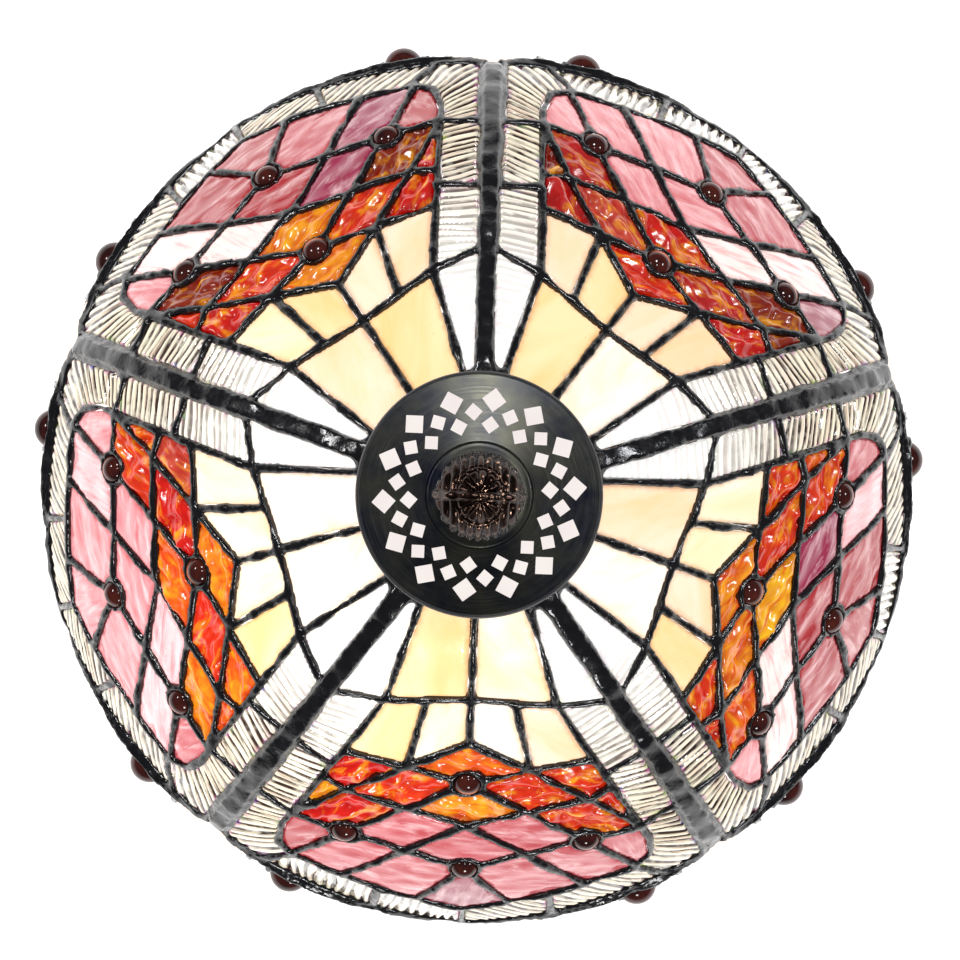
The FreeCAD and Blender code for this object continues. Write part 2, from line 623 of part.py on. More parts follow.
def panel_pieces():
    """Outlines of every glass piece of one panel: node name -> list of (points, gaps)."""
    seam, wide, ridge = val("seam"), val("seam_wide"), val("ridge_half") + 0.3
    top_z = DOME["dome_high"] - 3.0
    reach = DOME["cream_reach"]
    top_mid = (0.0, top_z)
    x_top = 33.5
    top_side = (degrees(atan2(side_line(x_top), x_top)), top_z)
    mid_1, mid_2 = plan(reach, 0), plan(reach + 0.6, 14.0)
    side_1 = plan(reach + 1.0, side_line(reach + 1.0))
    ridge_1, ridge_2, ridge_3 = (along_ridge(r) for r in (79.0, 98.8, 121.5))
    side_2, side_3 = along_ridge(98.8, DOME["strip_wide"]), along_ridge(121.5, DOME["strip_wide"])
    ridge_top = (HALF, top_z)
    out = {name: [] for name in ("cream_inner", "cream_outer", "fire_glass", "pink_glass",
                                 "ripple_side", "ripple_corner", "ripple_bottom")}

    def add(kind, points, gaps=None, both=True):
        gaps = gaps or [seam] * len(points)
        out[kind].append((points, gaps))
        if both:
            out[kind].append((mirror(points), gaps[-2::-1] + gaps[-1:]))

    add("cream_inner", [top_mid, mid_1, side_1, top_side], [seam, seam, seam, 1.0])
    add("cream_outer", [mid_1, node(3, -1), node(4, 0), mid_2])
    add("cream_outer", [mid_2, node(4, 0), node(5, -1), side_1])
    for row in range(0, 7):
        for column in range(0, 7):
            if (row + column) % 2 == 0:
                continue
            left, right, up, down = (column - 1, row), (column + 1, row), (column, row - 1), (column, row + 1)
            kind = "fire_glass" if row < 3 else "pink_glass"
            if row == 6 and column != 3 or row == 5 and column not in (2, 4):
                continue
            if column == 6:
                points = [node(*up)] + (corner_curve() if row == 3 else []) + [node(*down), node(*left)]
            elif column == 0:
                points = [node(*up), node(*right), node(*down)]
                if row == 3:
                    points += mirror(corner_curve())
            else:
                points = [node(*up), node(*right), node(*down), node(*left)]
            add(kind, points, both=False)
    add("ripple_side", [top_side, side_1, ridge_1, ridge_top], [seam, seam, ridge, 1.0])
    add("ripple_side", [side_1, side_2, ridge_2, ridge_1], [seam, seam, ridge + 0.5, seam])
    add("ripple_side", [side_2, side_3, ridge_3, ridge_2], [seam, seam, ridge + 1.1, seam])
    inner_end, outer_end = (24.6, frame_bottom(24.6)), border_point(28.5)
    add("ripple_corner", [side_3] + corner_curve() + [node(6, 4), inner_end, outer_end, border_point(33.5),
                                                      (HALF, 60.5), ridge_3],
        [seam, seam, seam, seam, seam, wide, wide, ridge + 1.7, seam])
    split = 12.0
    inner_split, outer_split = (split, frame_bottom(split)), border_point(split)
    add("ripple_bottom", [inner_split, node(5, 5), inner_end, outer_end, border_point(20.0), outer_split],
        [seam, seam, seam, wide, wide, seam])
    add("ripple_bottom", [node(3, 7), node(4, 6), inner_split, outer_split, (0.0, 28.0)],
        [seam, seam, seam, wide, seam])
    return out


JEWEL_NODES = [(3, 1), (1, 3), (5, 3), (3, 5)]


def inset_polygon(points, gaps):
    """Move each edge of a flat polygon inwards by its own gap. Edge i joins point i to i + 1."""
    count = len(points)
    area = sum(points[i][0] * points[(i + 1) % count][1] - points[(i + 1) % count][0] * points[i][1]
               for i in range(count))
    turn = 1.0 if area > 0 else -1.0
    lines = []
    for i in range(count):
        (xa, ya), (xb, yb) = points[i], points[(i + 1) % count]
        long = hypot(xb - xa, yb - ya)
        nx, ny = -(yb - ya) / long * turn, (xb - xa) / long * turn
        lines.append((nx, ny, nx * xa + ny * ya + gaps[i]))
    corners = []
    for i in range(count):
        (a1, b1, c1), (a2, b2, c2) = lines[i - 1], lines[i]
        det = a1 * b2 - a2 * b1
        if abs(det) < 0.02:
            x, y = points[i]
            corners.append((x + a2 * gaps[i], y + b2 * gaps[i]))
        else:
            corners.append(((c1 * b2 - c2 * b1) / det, (a1 * c2 - a2 * c1) / det))
    return corners


def prism(points, gaps, grow, radius=dome_radius):
    """Straight-sided block over a piece outline, square to the dome there."""
    world = [at(a, z, radius) for a, z in points]
    middle = VECTOR(0, 0, 0)
    for p in world:
        middle = middle + p * (1.0 / len(world))
    normal = VECTOR(0, 0, 0)
    for p, q in zip(world, world[1:] + world[:1]):
        normal = normal + (p - middle).cross(q - middle)
    normal.normalize()
    if normal.dot(VECTOR(middle.x, middle.y, middle.z - DOME["rim_level"] + 30)) < 0:
        normal = normal * -1
    u = VECTOR(0, 0, 1).cross(normal).normalize()
    v = normal.cross(u)
    flat = [((p - middle).dot(u), (p - middle).dot(v)) for p in world]
    flat = inset_polygon(flat, [g - grow for g in gaps])
    ring = [middle + u * x + v * y - normal * 12 for x, y in flat]
    return Part.Face(Part.makePolygon(ring + ring[:1])).extrude(normal * 22)


def jewel_post(column, row, radius):
    """Round post through the dome at a lattice crossing."""
    angle, high = node(column, row)
    axis = outward(angle, high)
    return Part.makeCylinder(radius, 24, at(angle, high) - axis * 12, axis)


def cabochon(radius, rise, sink):
    """Round polished jewel with a domed face, axis up."""
    ball = (radius * radius + rise * rise) / (2 * rise)
    edge = VECTOR(radius, 0, 0.3)
    top = VECTOR(0, 0, 0.3 + rise)
    mid_angle = atan2(radius, ball - rise) / 2
    mid = VECTOR(ball * sin(mid_angle), 0, 0.3 + rise - ball + ball * cos(mid_angle))
    low, foot = VECTOR(radius, 0, -sink), VECTOR(0, 0, -sink)
    wire = Part.Wire([Part.Arc(top, mid, edge).toShape(), Part.makeLine(edge, low),
                      Part.makeLine(low, foot), Part.makeLine(foot, top)])
    return Part.Face(wire).revolve(VECTOR(0, 0, 0), VECTOR(0, 0, 1), 360)


def stand_on(shape, angle, high, radius=dome_radius):
    copy = shape.copy()
    axis = outward(angle, high, radius)
    copy.Placement = FreeCAD.Placement(at(angle, high, radius), FreeCAD.Rotation(VECTOR(0, 0, 1), axis))
    return copy


def five_times(shapes, first=-90.0):
    """Copies of one panel's shapes on all five panels."""
    copies = []
    for i in range(5):
        for shape in shapes:
            copy = shape.copy()
            copy.rotate(VECTOR(0, 0, 0), VECTOR(0, 0, 1), first + 72.0 * i)
            copies.append(copy)
    return copies


def ridge_side(sign, distance):
    """Block on the far side of a line parallel to the ridge plane of a panel."""
    block = Part.makeBox(400, 400, 400, VECTOR(0, -400 if sign < 0 else 0, 100))
    block.translate(VECTOR(-100, -sign * distance, 0))
    block.rotate(VECTOR(0, 0, 0), VECTOR(0, 0, 1), sign * HALF)
    return block


def tent(grow=0.0):
    """Block above the lower border of one panel, square to the panel's middle plane."""
    base = DOME["rim_level"]
    near, far = 15, 200
    right = [VECTOR(near, y, base + z + grow) for y, z in BORDER]
    left = [VECTOR(near, -y, base + z + grow) for y, z in BORDER[:0:-1]]
    roof = [VECTOR(near, 86.5, base + 200), VECTOR(near, -86.5, base + 200)]
    ring = left + right + roof
    return Part.Face(Part.makePolygon(ring + ring[:1])).extrude(VECTOR(far - near, 0, 0))


def solids_of(shape, smallest=1.0):
    return [s for s in shape.Solids if s.Volume > smallest]


def make_panels():
    play, bezel, jewel = val("play"), val("bezel"), val("jewel_rad")
    lead = panel_shell(val("lead_out"), val("lead_in"), 15.0, DOME["dome_high"] + 4)
    glass = panel_shell(val("glass_out"), val("glass_in"), 15.0, DOME["dome_high"] + 4)
    over = Part.makeBox(500, 500, 60, VECTOR(-250, -250, DOME["rim_level"] + DOME["dome_high"] - 0.5))
    lead = lead.common(tent(0.02)).cut(over)
    lead = lead.cut(ridge_side(1, val("ridge_half"))).cut(ridge_side(-1, val("ridge_half")))
    clear = val("ridge_half") + play
    glass = glass.cut(ridge_side(1, clear)).cut(ridge_side(-1, clear))
    windows = []
    for kind, pieces in panel_pieces().items():
        done = []
        for points, gaps in pieces:
            whole, opening = prism(points, gaps, 0.0), prism(points, gaps, play)
            for column, row in JEWEL_NODES:
                angle, high = node(column, row)
                near = min((at(angle, high) - at(a, z)).Length for a, z in points)
                if near < 0.5:
                    post = jewel_post(column, row, jewel + bezel)
                    slim = jewel_post(column, row, jewel + bezel - play)
                    whole, opening = whole.cut(post), opening.cut(slim)
            windows += solids_of(opening)
            done += solids_of(glass.common(whole))
        if kind == "ripple_corner":
            windows += done
        group(kind, five_times(done))
    windows += [jewel_post(column, row, jewel + play) for column, row in JEWEL_NODES]
    lead = lead.cut(windows)
    group("lead_lattice", five_times(solids_of(lead, 50)))
    stone = cabochon(jewel, 2.7, 3.0)
    group("panel_jewels", five_times([stand_on(stone, *node(c, r)) for c, r in JEWEL_NODES]))


def make_ridges():
    """Heavy cames on the five ridges, and the ring that ties them together at the top."""
    low, high = 60.7, DOME["dome_high"] - 0.5
    heights = [low + (high + 3 - low) * i / 12.0 for i in range(13)]
    curves = []
    for offset in (1.9, -4.4):
        curve = Part.BSplineCurve()
        line = []
        for h in heights:
            slope = ridge_radius(h + 0.2) - ridge_radius(h - 0.2)
            across = VECTOR(0.4, 0, -slope).normalize()
            line.append(VECTOR(ridge_radius(h), 0, DOME["rim_level"] + h) + across * offset)
        curve.interpolate(line)
        curves.append(curve.toShape())
    ends = [Part.makeLine(curves[0].valueAt(curves[0].getParameterByLength(0)),
                          curves[1].valueAt(curves[1].getParameterByLength(0))),
            Part.makeLine(curves[0].valueAt(curves[0].LastParameter),
                          curves[1].valueAt(curves[1].LastParameter))]
    wire = Part.Wire(Part.__sortEdges__([curves[0], ends[1], curves[1], ends[0]]))
    half = val("ridge_half") - 0.02
    came = Part.Face(wire)
    came.translate(VECTOR(0, -half, 0))
    came = came.extrude(VECTOR(0, 2 * half, 0))
    over = Part.makeBox(500, 500, 60, VECTOR(-250, -250, DOME["rim_level"] + high))
    under = Part.makeBox(500, 500, 60, VECTOR(-250, -250, DOME["rim_level"] + low - 60))
    came = came.cut(over).cut(under)
    group("ridge_cames", five_times(solids_of(came), -54.0))
    lathe("top_ring", [(33.4, 0), (36.2, 0), (36.2, 1.6), (33.4, 1.6)],
          size("rim_level") + size("dome_high") - 0.48)


# ------------------------------------------------------------------ skirt and rim

def round_radius(angle, high):
    return ridge_radius(high)


def band(out, inside, bottom, top):
    heights = [bottom + (top - bottom) * i / 14.0 for i in range(15)]
    curves = []
    for offset in (out, -inside):
        curve = Part.BSplineCurve()
        curve.interpolate([lifted(0.0, h, offset, round_radius) for h in heights])
        curves.append(curve.toShape())
    first = Part.makeLine(curves[0].Vertexes[0].Point, curves[1].Vertexes[0].Point)
    last = Part.makeLine(curves[0].Vertexes[-1].Point, curves[1].Vertexes[-1].Point)
    wire = Part.Wire(Part.__sortEdges__([curves[0], last, curves[1], first]))
    return Part.Face(wire).revolve(VECTOR(0, 0, 0), VECTOR(0, 0, 1), 360)


def skirt_border(angle):
    """Height of the frame border at an angle from a ridge."""
    return border_point(HALF - abs(angle))[1]


def make_skirt():
    """Short skirt under the panels; angles here are measured from a ridge."""
    seam, wide, play = val("seam"), val("seam_wide"), val("play")
    row = 21.0                                # seam above the rim row
    kite = [(0, 60.5), (-3.2, skirt_border(3.2)), (-6.2, skirt_border(6.2)), (-6.2, row), (6.2, row),
            (6.2, skirt_border(6.2)), (3.2, skirt_border(3.2))]
    beside = [(6.2, row), (17.8, row), (17.8, skirt_border(17.8)), (12, skirt_border(12)),
              (6.2, skirt_border(6.2))]
    tail = [(17.8, row), (34.2, row), (34.2, skirt_border(34.2)), (26, skirt_border(26)),
            (17.8, skirt_border(17.8))]
    pieces = {"skirt_peak": [(kite, [wide, wide, seam, seam, seam, wide, wide])],
              "skirt_pink": [(beside, [seam, seam, wide, wide, seam]), (tail, [seam, seam, wide, wide, seam])],
              "skirt_rim_glass": []}
    for points, gaps in list(pieces["skirt_pink"]):
        pieces["skirt_pink"].append((mirror(points), gaps[-2::-1] + gaps[-1:]))
    for i in range(6):
        a = -36 + 12 * i
        points = [(a, 4.2), (a + 12, 4.2), (a + 12, row), (a, row)]
        pieces["skirt_rim_glass"].append((points, [0.6, seam, seam, seam]))
    stone_rad, stone_high = val("skirt_jewel_rad"), 36.5
    lead = band(val("lead_out"), val("lead_in"), 4.4, 66.0)
    glass = band(val("glass_out"), val("glass_in"), 4.4, 66.0)
    lead = lead.cut([t for t in five_times([tent(-0.02)])])
    windows = []
    for kind, entries in pieces.items():
        done = []
        for points, gaps in entries:
            whole, opening = (prism(points, gaps, g, round_radius) for g in (0.0, play))
            if kind == "skirt_pink" and abs(points[0][0]) < 20:
                for side in (-12.0, 12.0):
                    axis = outward(side, stone_high, round_radius)
                    foot = at(side, stone_high, round_radius) - axis * 12
                    whole = whole.cut(Part.makeCylinder(stone_rad + val("bezel"), 24, foot, axis))
                    opening = opening.cut(Part.makeCylinder(stone_rad + val("bezel") - play, 24, foot, axis))
            windows += solids_of(opening)
            done += solids_of(glass.common(whole))
        placed = five_times(done, -54.0)
        if kind == "skirt_peak":              # the peak stays clear of the panels' lower edges
            panels = five_times([tent(-0.4)])
            placed = [max(piece.cut(panels).Solids, key=lambda s: s.Volume) for piece in placed]
        group(kind, placed)
    for side in (-12.0, 12.0):
        axis = outward(side, stone_high, round_radius)
        windows.append(Part.makeCylinder(stone_rad + play, 24, at(side, stone_high, round_radius) - axis * 12,
                                         axis))
    lead = lead.cut(five_times(windows, -54.0))
    group("skirt_leads", solids_of(lead, 50))
    stone = cabochon(stone_rad, 4.2, 3.0)
    group("skirt_jewels", five_times([stand_on(stone, side, stone_high, round_radius)
                                      for side in (-12.0, 12.0)], -54.0))
    rim = val("rim_rad")
    radius = ridge_radius(2.0)
    ring = Part.makeTorus(radius - 1.5, rim, VECTOR(0, 0, DOME["rim_level"] + rim))
    cut_top = Part.makeBox(400, 400, 20, VECTOR(-200, -200, DOME["rim_level"] + 3.6))
    group("rim_wire", [ring.cut(cut_top)])


# ------------------------------------------------------------------ cap, finial, seat

def square_at(radius, angle, side):
    """Square with a corner pointing away from the axis."""
    half = side / sqrt(2.0)
    x, y = radius * cos(radians(angle)), radius * sin(radians(angle))
    return [(x + half * cos(radians(angle + 90 * k)), y + half * sin(radians(angle + 90 * k)))
            for k in range(4)]


def make_top():
    ring_top = size("rim_level") + size("dome_high") + 1.14
    rad, thick = size("cap_rad"), size("cap_thick")
    cap = lathe("heat_cap", [(5.6, 6.2), (9, 5.6), (14.5, 5.6), (16.5, 7.2), (rad - 1.2, 1.5, -0.05),
                             (rad - 0.2, 0.5, -0.2), (rad, -0.5), (rad - 1.0, -0.7), (rad - 1.6, 0.2),
                             (16, 6.0, 0.05), (15, 4.4), (9, 4.4), (5.6, 5.0)], ring_top)
    count = val("vent_count")
    big, small = val("vent_big"), val("vent_small")
    for name, reach, turn, side in (("vents_outer", 29.3, 6.0, big), ("vents_middle", 25.4, 6.0 + 180 / count, small),
                                    ("vents_inner", 21.6, 6.0, small)):
        polar(cap, pocket_through(cap, "XY_Plane", square_at(reach, turn, side), name), count, name + "_ring")
    # spider in the shade's neck, turning on the pipe and resting on a nut
    seat_level = DOME["rim_level"] + DOME["dome_high"] - 0.48
    hub = Part.makeCylinder(11, 1.6, VECTOR(0, 0, seat_level))
    arms = []
    for i in range(3):
        arm = Part.makeBox(33.2, 2.6, 1.6, VECTOR(0, -1.3, seat_level))
        arm.rotate(VECTOR(0, 0, 0), VECTOR(0, 0, 1), 32 + 120 * i)
        arms.append(arm)
    hole = Part.makeCylinder(val("rod_rad") + 0.06, 20, VECTOR(0, 0, seat_level - 8))
    group("shade_spider", [hub.fuse(arms).cut(hole).removeSplitter()])
    hex_nut("spider_nut", size("rim_level") + size("dome_high") - 6.52, 15.0, 6.0)
    lathe("finial_washer", [(5.3, 0), (9.5, 0), (9.5, 1.2), (5.3, 1.2)], ring_top + 6.24)
    base = ring_top + 7.46
    wide, tall = size("finial_rad"), size("finial_high")
    shape = [(5.1, 0), (8.6, 0), (9.4, 1.5, -0.3), (8.4, 4), (8.0, 5.5, -0.12), (wide, 15, -0.2),
             (wide - 5, tall - 4.5, -0.1), (2, tall - 1.4), (0, tall - 1.4), (0, 16), (5.1, 15), (6.3, 15),
             (6.3, 0.4), (5.1, 0.4)]
    finial = lathe("finial", shape, base)
    rib = [(6.8, 5.6), (7.4, 5.5, -0.12), (wide + 0.7, 15, -0.2), (wide - 4.5, tall - 4.2, -0.1), (1.5, tall - 1.2),
           (1.5, tall - 4), (6.8, 20)]
    ribs(finial, rib, 1.2, 12, "palm")
    keel = [(6.8, 7), (7.8, 6.5, -0.12), (wide + 1.2, 15, -0.2), (wide - 4, tall - 3.2, -0.1), (2.5, tall),
            (-0.4, tall), (-0.4, tall - 4), (6.8, 20)]
    ribs(finial, keel, 3.0, 2, "keel")
    lathe("finial_insert", [(5.02, 0.5), (6.28, 0.5), (6.28, 14.5), (5.02, 14.5)], base)


def main():
    make_base()
    make_stem()
    load_dome()
    make_holder()
    make_bracket()
    make_chain()
    make_cord()
    make_panels()
    make_ridges()
    make_skirt()
    make_top()
    DOC.recompute()
    bush = DOC.getObject("cord_bush")
    bush.Placement = FreeCAD.Placement(VECTOR(0, val("foot_rad") - 10.15, val("felt_thick") + 6.0),
                                       FreeCAD.Rotation(VECTOR(0, 0, 1), VECTOR(0, 1, 0)))
    DOC.recompute()
    os.makedirs("parts", exist_ok=True)
    parts = [o for o in DOC.Objects if o.TypeId in ("PartDesign::Body", "Part::Feature")]
    for thing in DOC.Objects:
        bad = [s for s in thing.State if s in ("Invalid", "Error")]
        if bad:
            raise RuntimeError("%s: %s" % (thing.Label, bad))
    for part in parts:
        if part.Shape.isNull() or not part.Shape.isValid() or not part.Shape.Solids:
            raise RuntimeError("bad shape: " + part.Label)
    for part in parts:
        part.Shape.exportStep("parts/%s.step" % part.Label)
        box = part.Shape.optimalBoundingBox(False, False)
        print("%-20s solids %3d  z %.1f..%.1f  r %.1f" % (part.Label, len(part.Shape.Solids), box.ZMin, box.ZMax,
                                                         max(box.XMax, -box.XMin, box.YMax, -box.YMin)))


main()
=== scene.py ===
import bpy
import json
import math
import numpy as np
from mathutils import Matrix, Vector, noise


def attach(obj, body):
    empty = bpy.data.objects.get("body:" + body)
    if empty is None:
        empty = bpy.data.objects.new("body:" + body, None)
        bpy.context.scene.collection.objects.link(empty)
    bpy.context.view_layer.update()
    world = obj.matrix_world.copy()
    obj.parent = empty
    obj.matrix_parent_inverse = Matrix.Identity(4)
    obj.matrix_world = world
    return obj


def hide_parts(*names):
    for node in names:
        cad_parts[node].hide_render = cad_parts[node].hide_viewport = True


# Stained glass table lamp, seen from straight above with the bulb lit.

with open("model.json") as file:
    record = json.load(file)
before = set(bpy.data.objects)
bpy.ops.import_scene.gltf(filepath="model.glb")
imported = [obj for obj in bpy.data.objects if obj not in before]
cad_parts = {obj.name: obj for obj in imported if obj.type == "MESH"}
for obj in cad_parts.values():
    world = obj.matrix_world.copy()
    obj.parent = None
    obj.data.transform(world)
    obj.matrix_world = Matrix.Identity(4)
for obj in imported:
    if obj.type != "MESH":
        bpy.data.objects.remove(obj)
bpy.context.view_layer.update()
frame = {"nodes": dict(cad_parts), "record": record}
CAD = frame["nodes"]
HIGH = 0.285                         # shade rim above the table
BULB = np.array([-0.037, -0.037, 0.352])
rng = np.random.default_rng(7)


def srgb(r, g, b):
    """Linear colour from 0-255 screen values."""
    return tuple(((c / 255 + 0.055) / 1.055) ** 2.4 if c > 10 else c / 255 / 12.92 for c in (r, g, b))


# ------------------------------------------------------------------ node materials

class Shader:
    """Small helper that builds a node material."""

    def __init__(self, name):
        self.mat = bpy.data.materials.new(name)
        self.mat.use_nodes = True
        self.tree = self.mat.node_tree
        self.tree.nodes.clear()
        self.out = self.tree.nodes.new("ShaderNodeOutputMaterial")

    def put(self, socket, value):
        if value is None:
            return
        if isinstance(value, bpy.types.NodeSocket):
            self.tree.links.new(value, socket)
        elif isinstance(value, tuple) and len(value) == 3 and socket.type == "RGBA":
            socket.default_value = value + (1,)
        else:
            socket.default_value = value

    def node(self, kind, inputs=(), **settings):
        made = self.tree.nodes.new("ShaderNode" + kind)
        for key, value in settings.items():
            setattr(made, key, value)
        for key, value in dict(inputs).items():
            self.put(made.inputs[key], value)
        return made

    def attr(self, name, output="Vector"):
        return self.node("Attribute", attribute_name=name).outputs[output]

    def math(self, operation, a, b=0.5, c=0.5, clamp=False):
        made = self.node("Math", {0: a, 1: b, 2: c}, operation=operation, use_clamp=clamp)
        return made.outputs[0]

    def place(self, vector, scale=(1, 1, 1)):
        return self.node("Mapping", {"Vector": vector, "Scale": scale}).outputs[0]

    def noise(self, vector, scale, detail=3.0, rough=0.55, twist=0.0):
        made = self.node("TexNoise", {"Vector": vector, "Scale": scale, "Detail": detail, "Roughness": rough,
                                      "Distortion": twist})
        return made.outputs[0]

    def ramp(self, value, stops):
        made = self.node("ValToRGB", {"Fac": value})
        marks = made.color_ramp.elements
        while len(marks) < len(stops):
            marks.new(0.5)
        for mark, (place, colour) in zip(marks, stops):
            mark.position = place
            mark.color = tuple(colour) + (1,) if len(colour) == 3 else colour
        return made.outputs[0]

    def grey(self, value, low, high, bottom=0.0, top=1.0):
        return self.node("MapRange", {"Value": value, 1: low, 2: high, 3: bottom, 4: top}).outputs[0]

    def mix(self, share, a, b, blend="MIX"):
        made = self.node("Mix", data_type="RGBA", blend_type=blend)
        for key, value in ((0, share), (6, a), (7, b)):
            self.put(made.inputs[key], value)
        return made.outputs[2]

    def bump(self, value, strength, distance):
        return self.node("Bump", {"Height": value, "Strength": strength, "Distance": distance}).outputs[0]

    def finish(self, surface):
        self.tree.links.new(surface, self.out.inputs["Surface"])
        return self.mat


def principled(s, base, rough, metal=0.0, normal=None, **more):
    made = s.node("BsdfPrincipled", {"Base Color": base, "Roughness": rough, "Metallic": metal})
    if normal is not None:
        s.put(made.inputs["Normal"], normal)
    for key, value in more.items():
        s.put(made.inputs[key.replace("_", " ")], value)
    return made.outputs[0]


def metal_material(name, dark, light, rough=(0.25, 0.5), metal=0.9, grain=900.0, bump=0.15, worn=None,
                   flank=None):
    s = Shader(name)
    spot = s.node("NewGeometry").outputs["Position"]
    cloud = s.noise(spot, 60.0, 5.0, 0.6)
    fine = s.noise(spot, grain, 3.0)
    colour = s.mix(s.grey(cloud, 0.35, 0.68), dark, light)
    # Raised edges lighter: partly rubbed wear, partly a painted highlight.
    if worn:
        edge = s.grey(s.node("NewGeometry").outputs["Pointiness"], 0.515, 0.56)
        colour = s.mix(edge, colour, worn)
    # Painted shade: faces that turn sideways are darkened.
    if flank:
        up = s.node("SeparateXYZ", {0: s.node("NewGeometry").outputs["Normal"]}).outputs[2]
        colour = s.mix(s.grey(up, 0.2, 0.65), flank, colour)
    shine = s.grey(s.math("ADD", cloud, s.math("MULTIPLY", fine, 0.4)), 0.45, 0.95, rough[0], rough[1])
    return s.finish(principled(s, colour, shine, metal, s.bump(fine, bump, 0.0004)))


def solder_material():
    s = Shader("solder")
    spot = s.node("NewGeometry").outputs["Position"]
    cloud = s.noise(spot, 140.0, 5.0, 0.6)
    fine = s.noise(spot, 700.0, 4.0, 0.6)
    colour = s.ramp(cloud, [(0.3, srgb(3, 3, 5)), (0.6, srgb(10, 9, 12)), (0.85, srgb(38, 34, 36))])
    shine = s.grey(s.noise(spot, 260.0, 3.0), 0.35, 0.7, 0.1, 0.28)
    return s.finish(principled(s, colour, shine, 0.1, s.bump(fine, 0.3, 0.0004), Specular_IOR_Level=0.7))


def lit_glass(s, colour, glow, base, rough, normal, coat=0.4):
    """Backlit glass: painted light, an emission that stands in for the bulb's light coming through it, plus a polished
    face, clear to shadow rays so the bulb's light gets out.
    """
    face = principled(s, base, rough, 0.0, normal, Specular_IOR_Level=0.6, Coat_Weight=coat, Coat_Roughness=0.06,
                      Emission_Color=colour, Emission_Strength=glow)
    clear = s.node("BsdfTransparent", {"Color": s.mix(0.5, colour, (0.5, 0.45, 0.4))}).outputs[0]
    ray = s.node("LightPath").outputs["Is Shadow Ray"]
    return s.finish(s.node("MixShader", {0: ray, 1: face, 2: clear}).outputs[0])


def cream_material():
    s = Shader("cream_glass")
    grain, tint, glow = s.attr("grain"), s.attr("tint", "Color"), s.attr("glow", "Fac")
    wash = s.noise(s.place(grain, (22, 70, 1)), 1.0, 4.0, 0.55, 0.6)
    thread = s.noise(s.place(grain, (30, 260, 1)), 1.0, 3.0, 0.5, 0.4)
    specks = s.noise(s.place(grain, (900, 900, 1)), 1.0, 2.0, 0.5)
    colour = s.mix(s.grey(wash, 0.38, 0.66, 0.0, 0.65), tint, s.mix(1.0, tint, srgb(255, 226, 178), "MULTIPLY"))
    colour = s.mix(s.grey(thread, 0.62, 0.8, 0.0, 0.35), colour, srgb(250, 214, 150))
    colour = s.mix(s.grey(specks, 0.72, 0.76, 0.0, 0.35), colour, srgb(190, 140, 110))
    colour = s.mix(s.grey(s.attr("edge", "Fac"), 0.0, 0.0022, 0.45, 0.0), colour,
                   s.mix(1.0, colour, srgb(214, 160, 140), "MULTIPLY"))
    normal = s.bump(s.noise(s.place(grain, (160, 160, 1)), 1.0, 3.0), 0.12, 0.0006)
    return lit_glass(s, colour, s.math("MULTIPLY", glow, 0.9), s.mix(0.7, colour, (0.0, 0.0, 0.0)), 0.22, normal)


def pink_material():
    s = Shader("pink_glass")
    grain, tint, glow = s.attr("grain"), s.attr("tint", "Color"), s.attr("glow", "Fac")
    wash = s.noise(s.place(grain, (80, 260, 1)), 1.0, 4.0, 0.6, 0.8)
    thread = s.noise(s.place(grain, (45, 420, 1)), 1.0, 4.0, 0.6, 0.5)
    pits = s.noise(s.place(grain, (1100, 1100, 1)), 1.0, 2.0, 0.5)
    pale = s.mix(0.45, tint, srgb(250, 222, 222))
    deep = s.mix(1.0, tint, srgb(228, 150, 160), "MULTIPLY")
    colour = s.mix(s.grey(wash, 0.48, 0.68, 0.0, 0.85), tint, pale)
    colour = s.mix(s.grey(thread, 0.5, 0.7, 0.0, 0.8), colour, deep)
    colour = s.mix(s.grey(wash, 0.26, 0.42, 0.55, 0.0), colour, s.mix(1.0, tint, srgb(245, 175, 180), "MULTIPLY"))
    colour = s.mix(s.grey(pits, 0.71, 0.75, 0.0, 0.6), colour, srgb(120, 50, 55))
    colour = s.mix(s.grey(s.attr("edge", "Fac"), 0.0, 0.0018, 0.5, 0.0), colour,
                   s.mix(1.0, colour, srgb(190, 110, 115), "MULTIPLY"))
    normal = s.bump(s.noise(s.place(grain, (150, 200, 1)), 1.0, 3.0), 0.2, 0.0006)
    return lit_glass(s, colour, s.math("MULTIPLY", glow, 1.08), s.mix(0.75, colour, (0.0, 0.0, 0.0)), 0.2, normal)


def fire_material():
    s = Shader("fire_glass")
    grain, tint, glow = s.attr("grain"), s.attr("tint", "Color"), s.attr("glow", "Fac")
    wash = s.noise(s.place(grain, (75, 170, 1)), 1.0, 3.0, 0.55, 1.6)
    thread = s.noise(s.place(grain, (70, 380, 1)), 1.0, 4.0, 0.6, 1.2)
    hot = s.mix(0.7, tint, srgb(255, 186, 20))
    deep = s.mix(1.0, tint, srgb(236, 96, 60), "MULTIPLY")
    colour = s.mix(s.grey(wash, 0.5, 0.66), tint, hot)
    colour = s.mix(s.grey(wash, 0.3, 0.46, 0.9, 0.0), colour, deep)
    colour = s.mix(s.grey(thread, 0.52, 0.68, 0.0, 0.7), colour, deep)
    colour = s.mix(s.grey(s.attr("relief", "Fac"), 0.1, 0.9, 0.5, 0.0), colour,
                   s.mix(1.0, colour, srgb(200, 90, 60), "MULTIPLY"))
    colour = s.mix(s.grey(s.attr("edge", "Fac"), 0.0, 0.002, 0.7, 0.0), colour,
                   s.mix(1.0, colour, srgb(170, 60, 40), "MULTIPLY"))
    normal = s.bump(s.noise(s.place(grain, (220, 300, 1)), 1.0, 2.0, 0.5, 0.8), 0.15, 0.0006)
    return lit_glass(s, colour, s.math("MULTIPLY", glow, 0.9), s.mix(0.85, colour, (0.0, 0.0, 0.0)), 0.2, normal, 0.12)


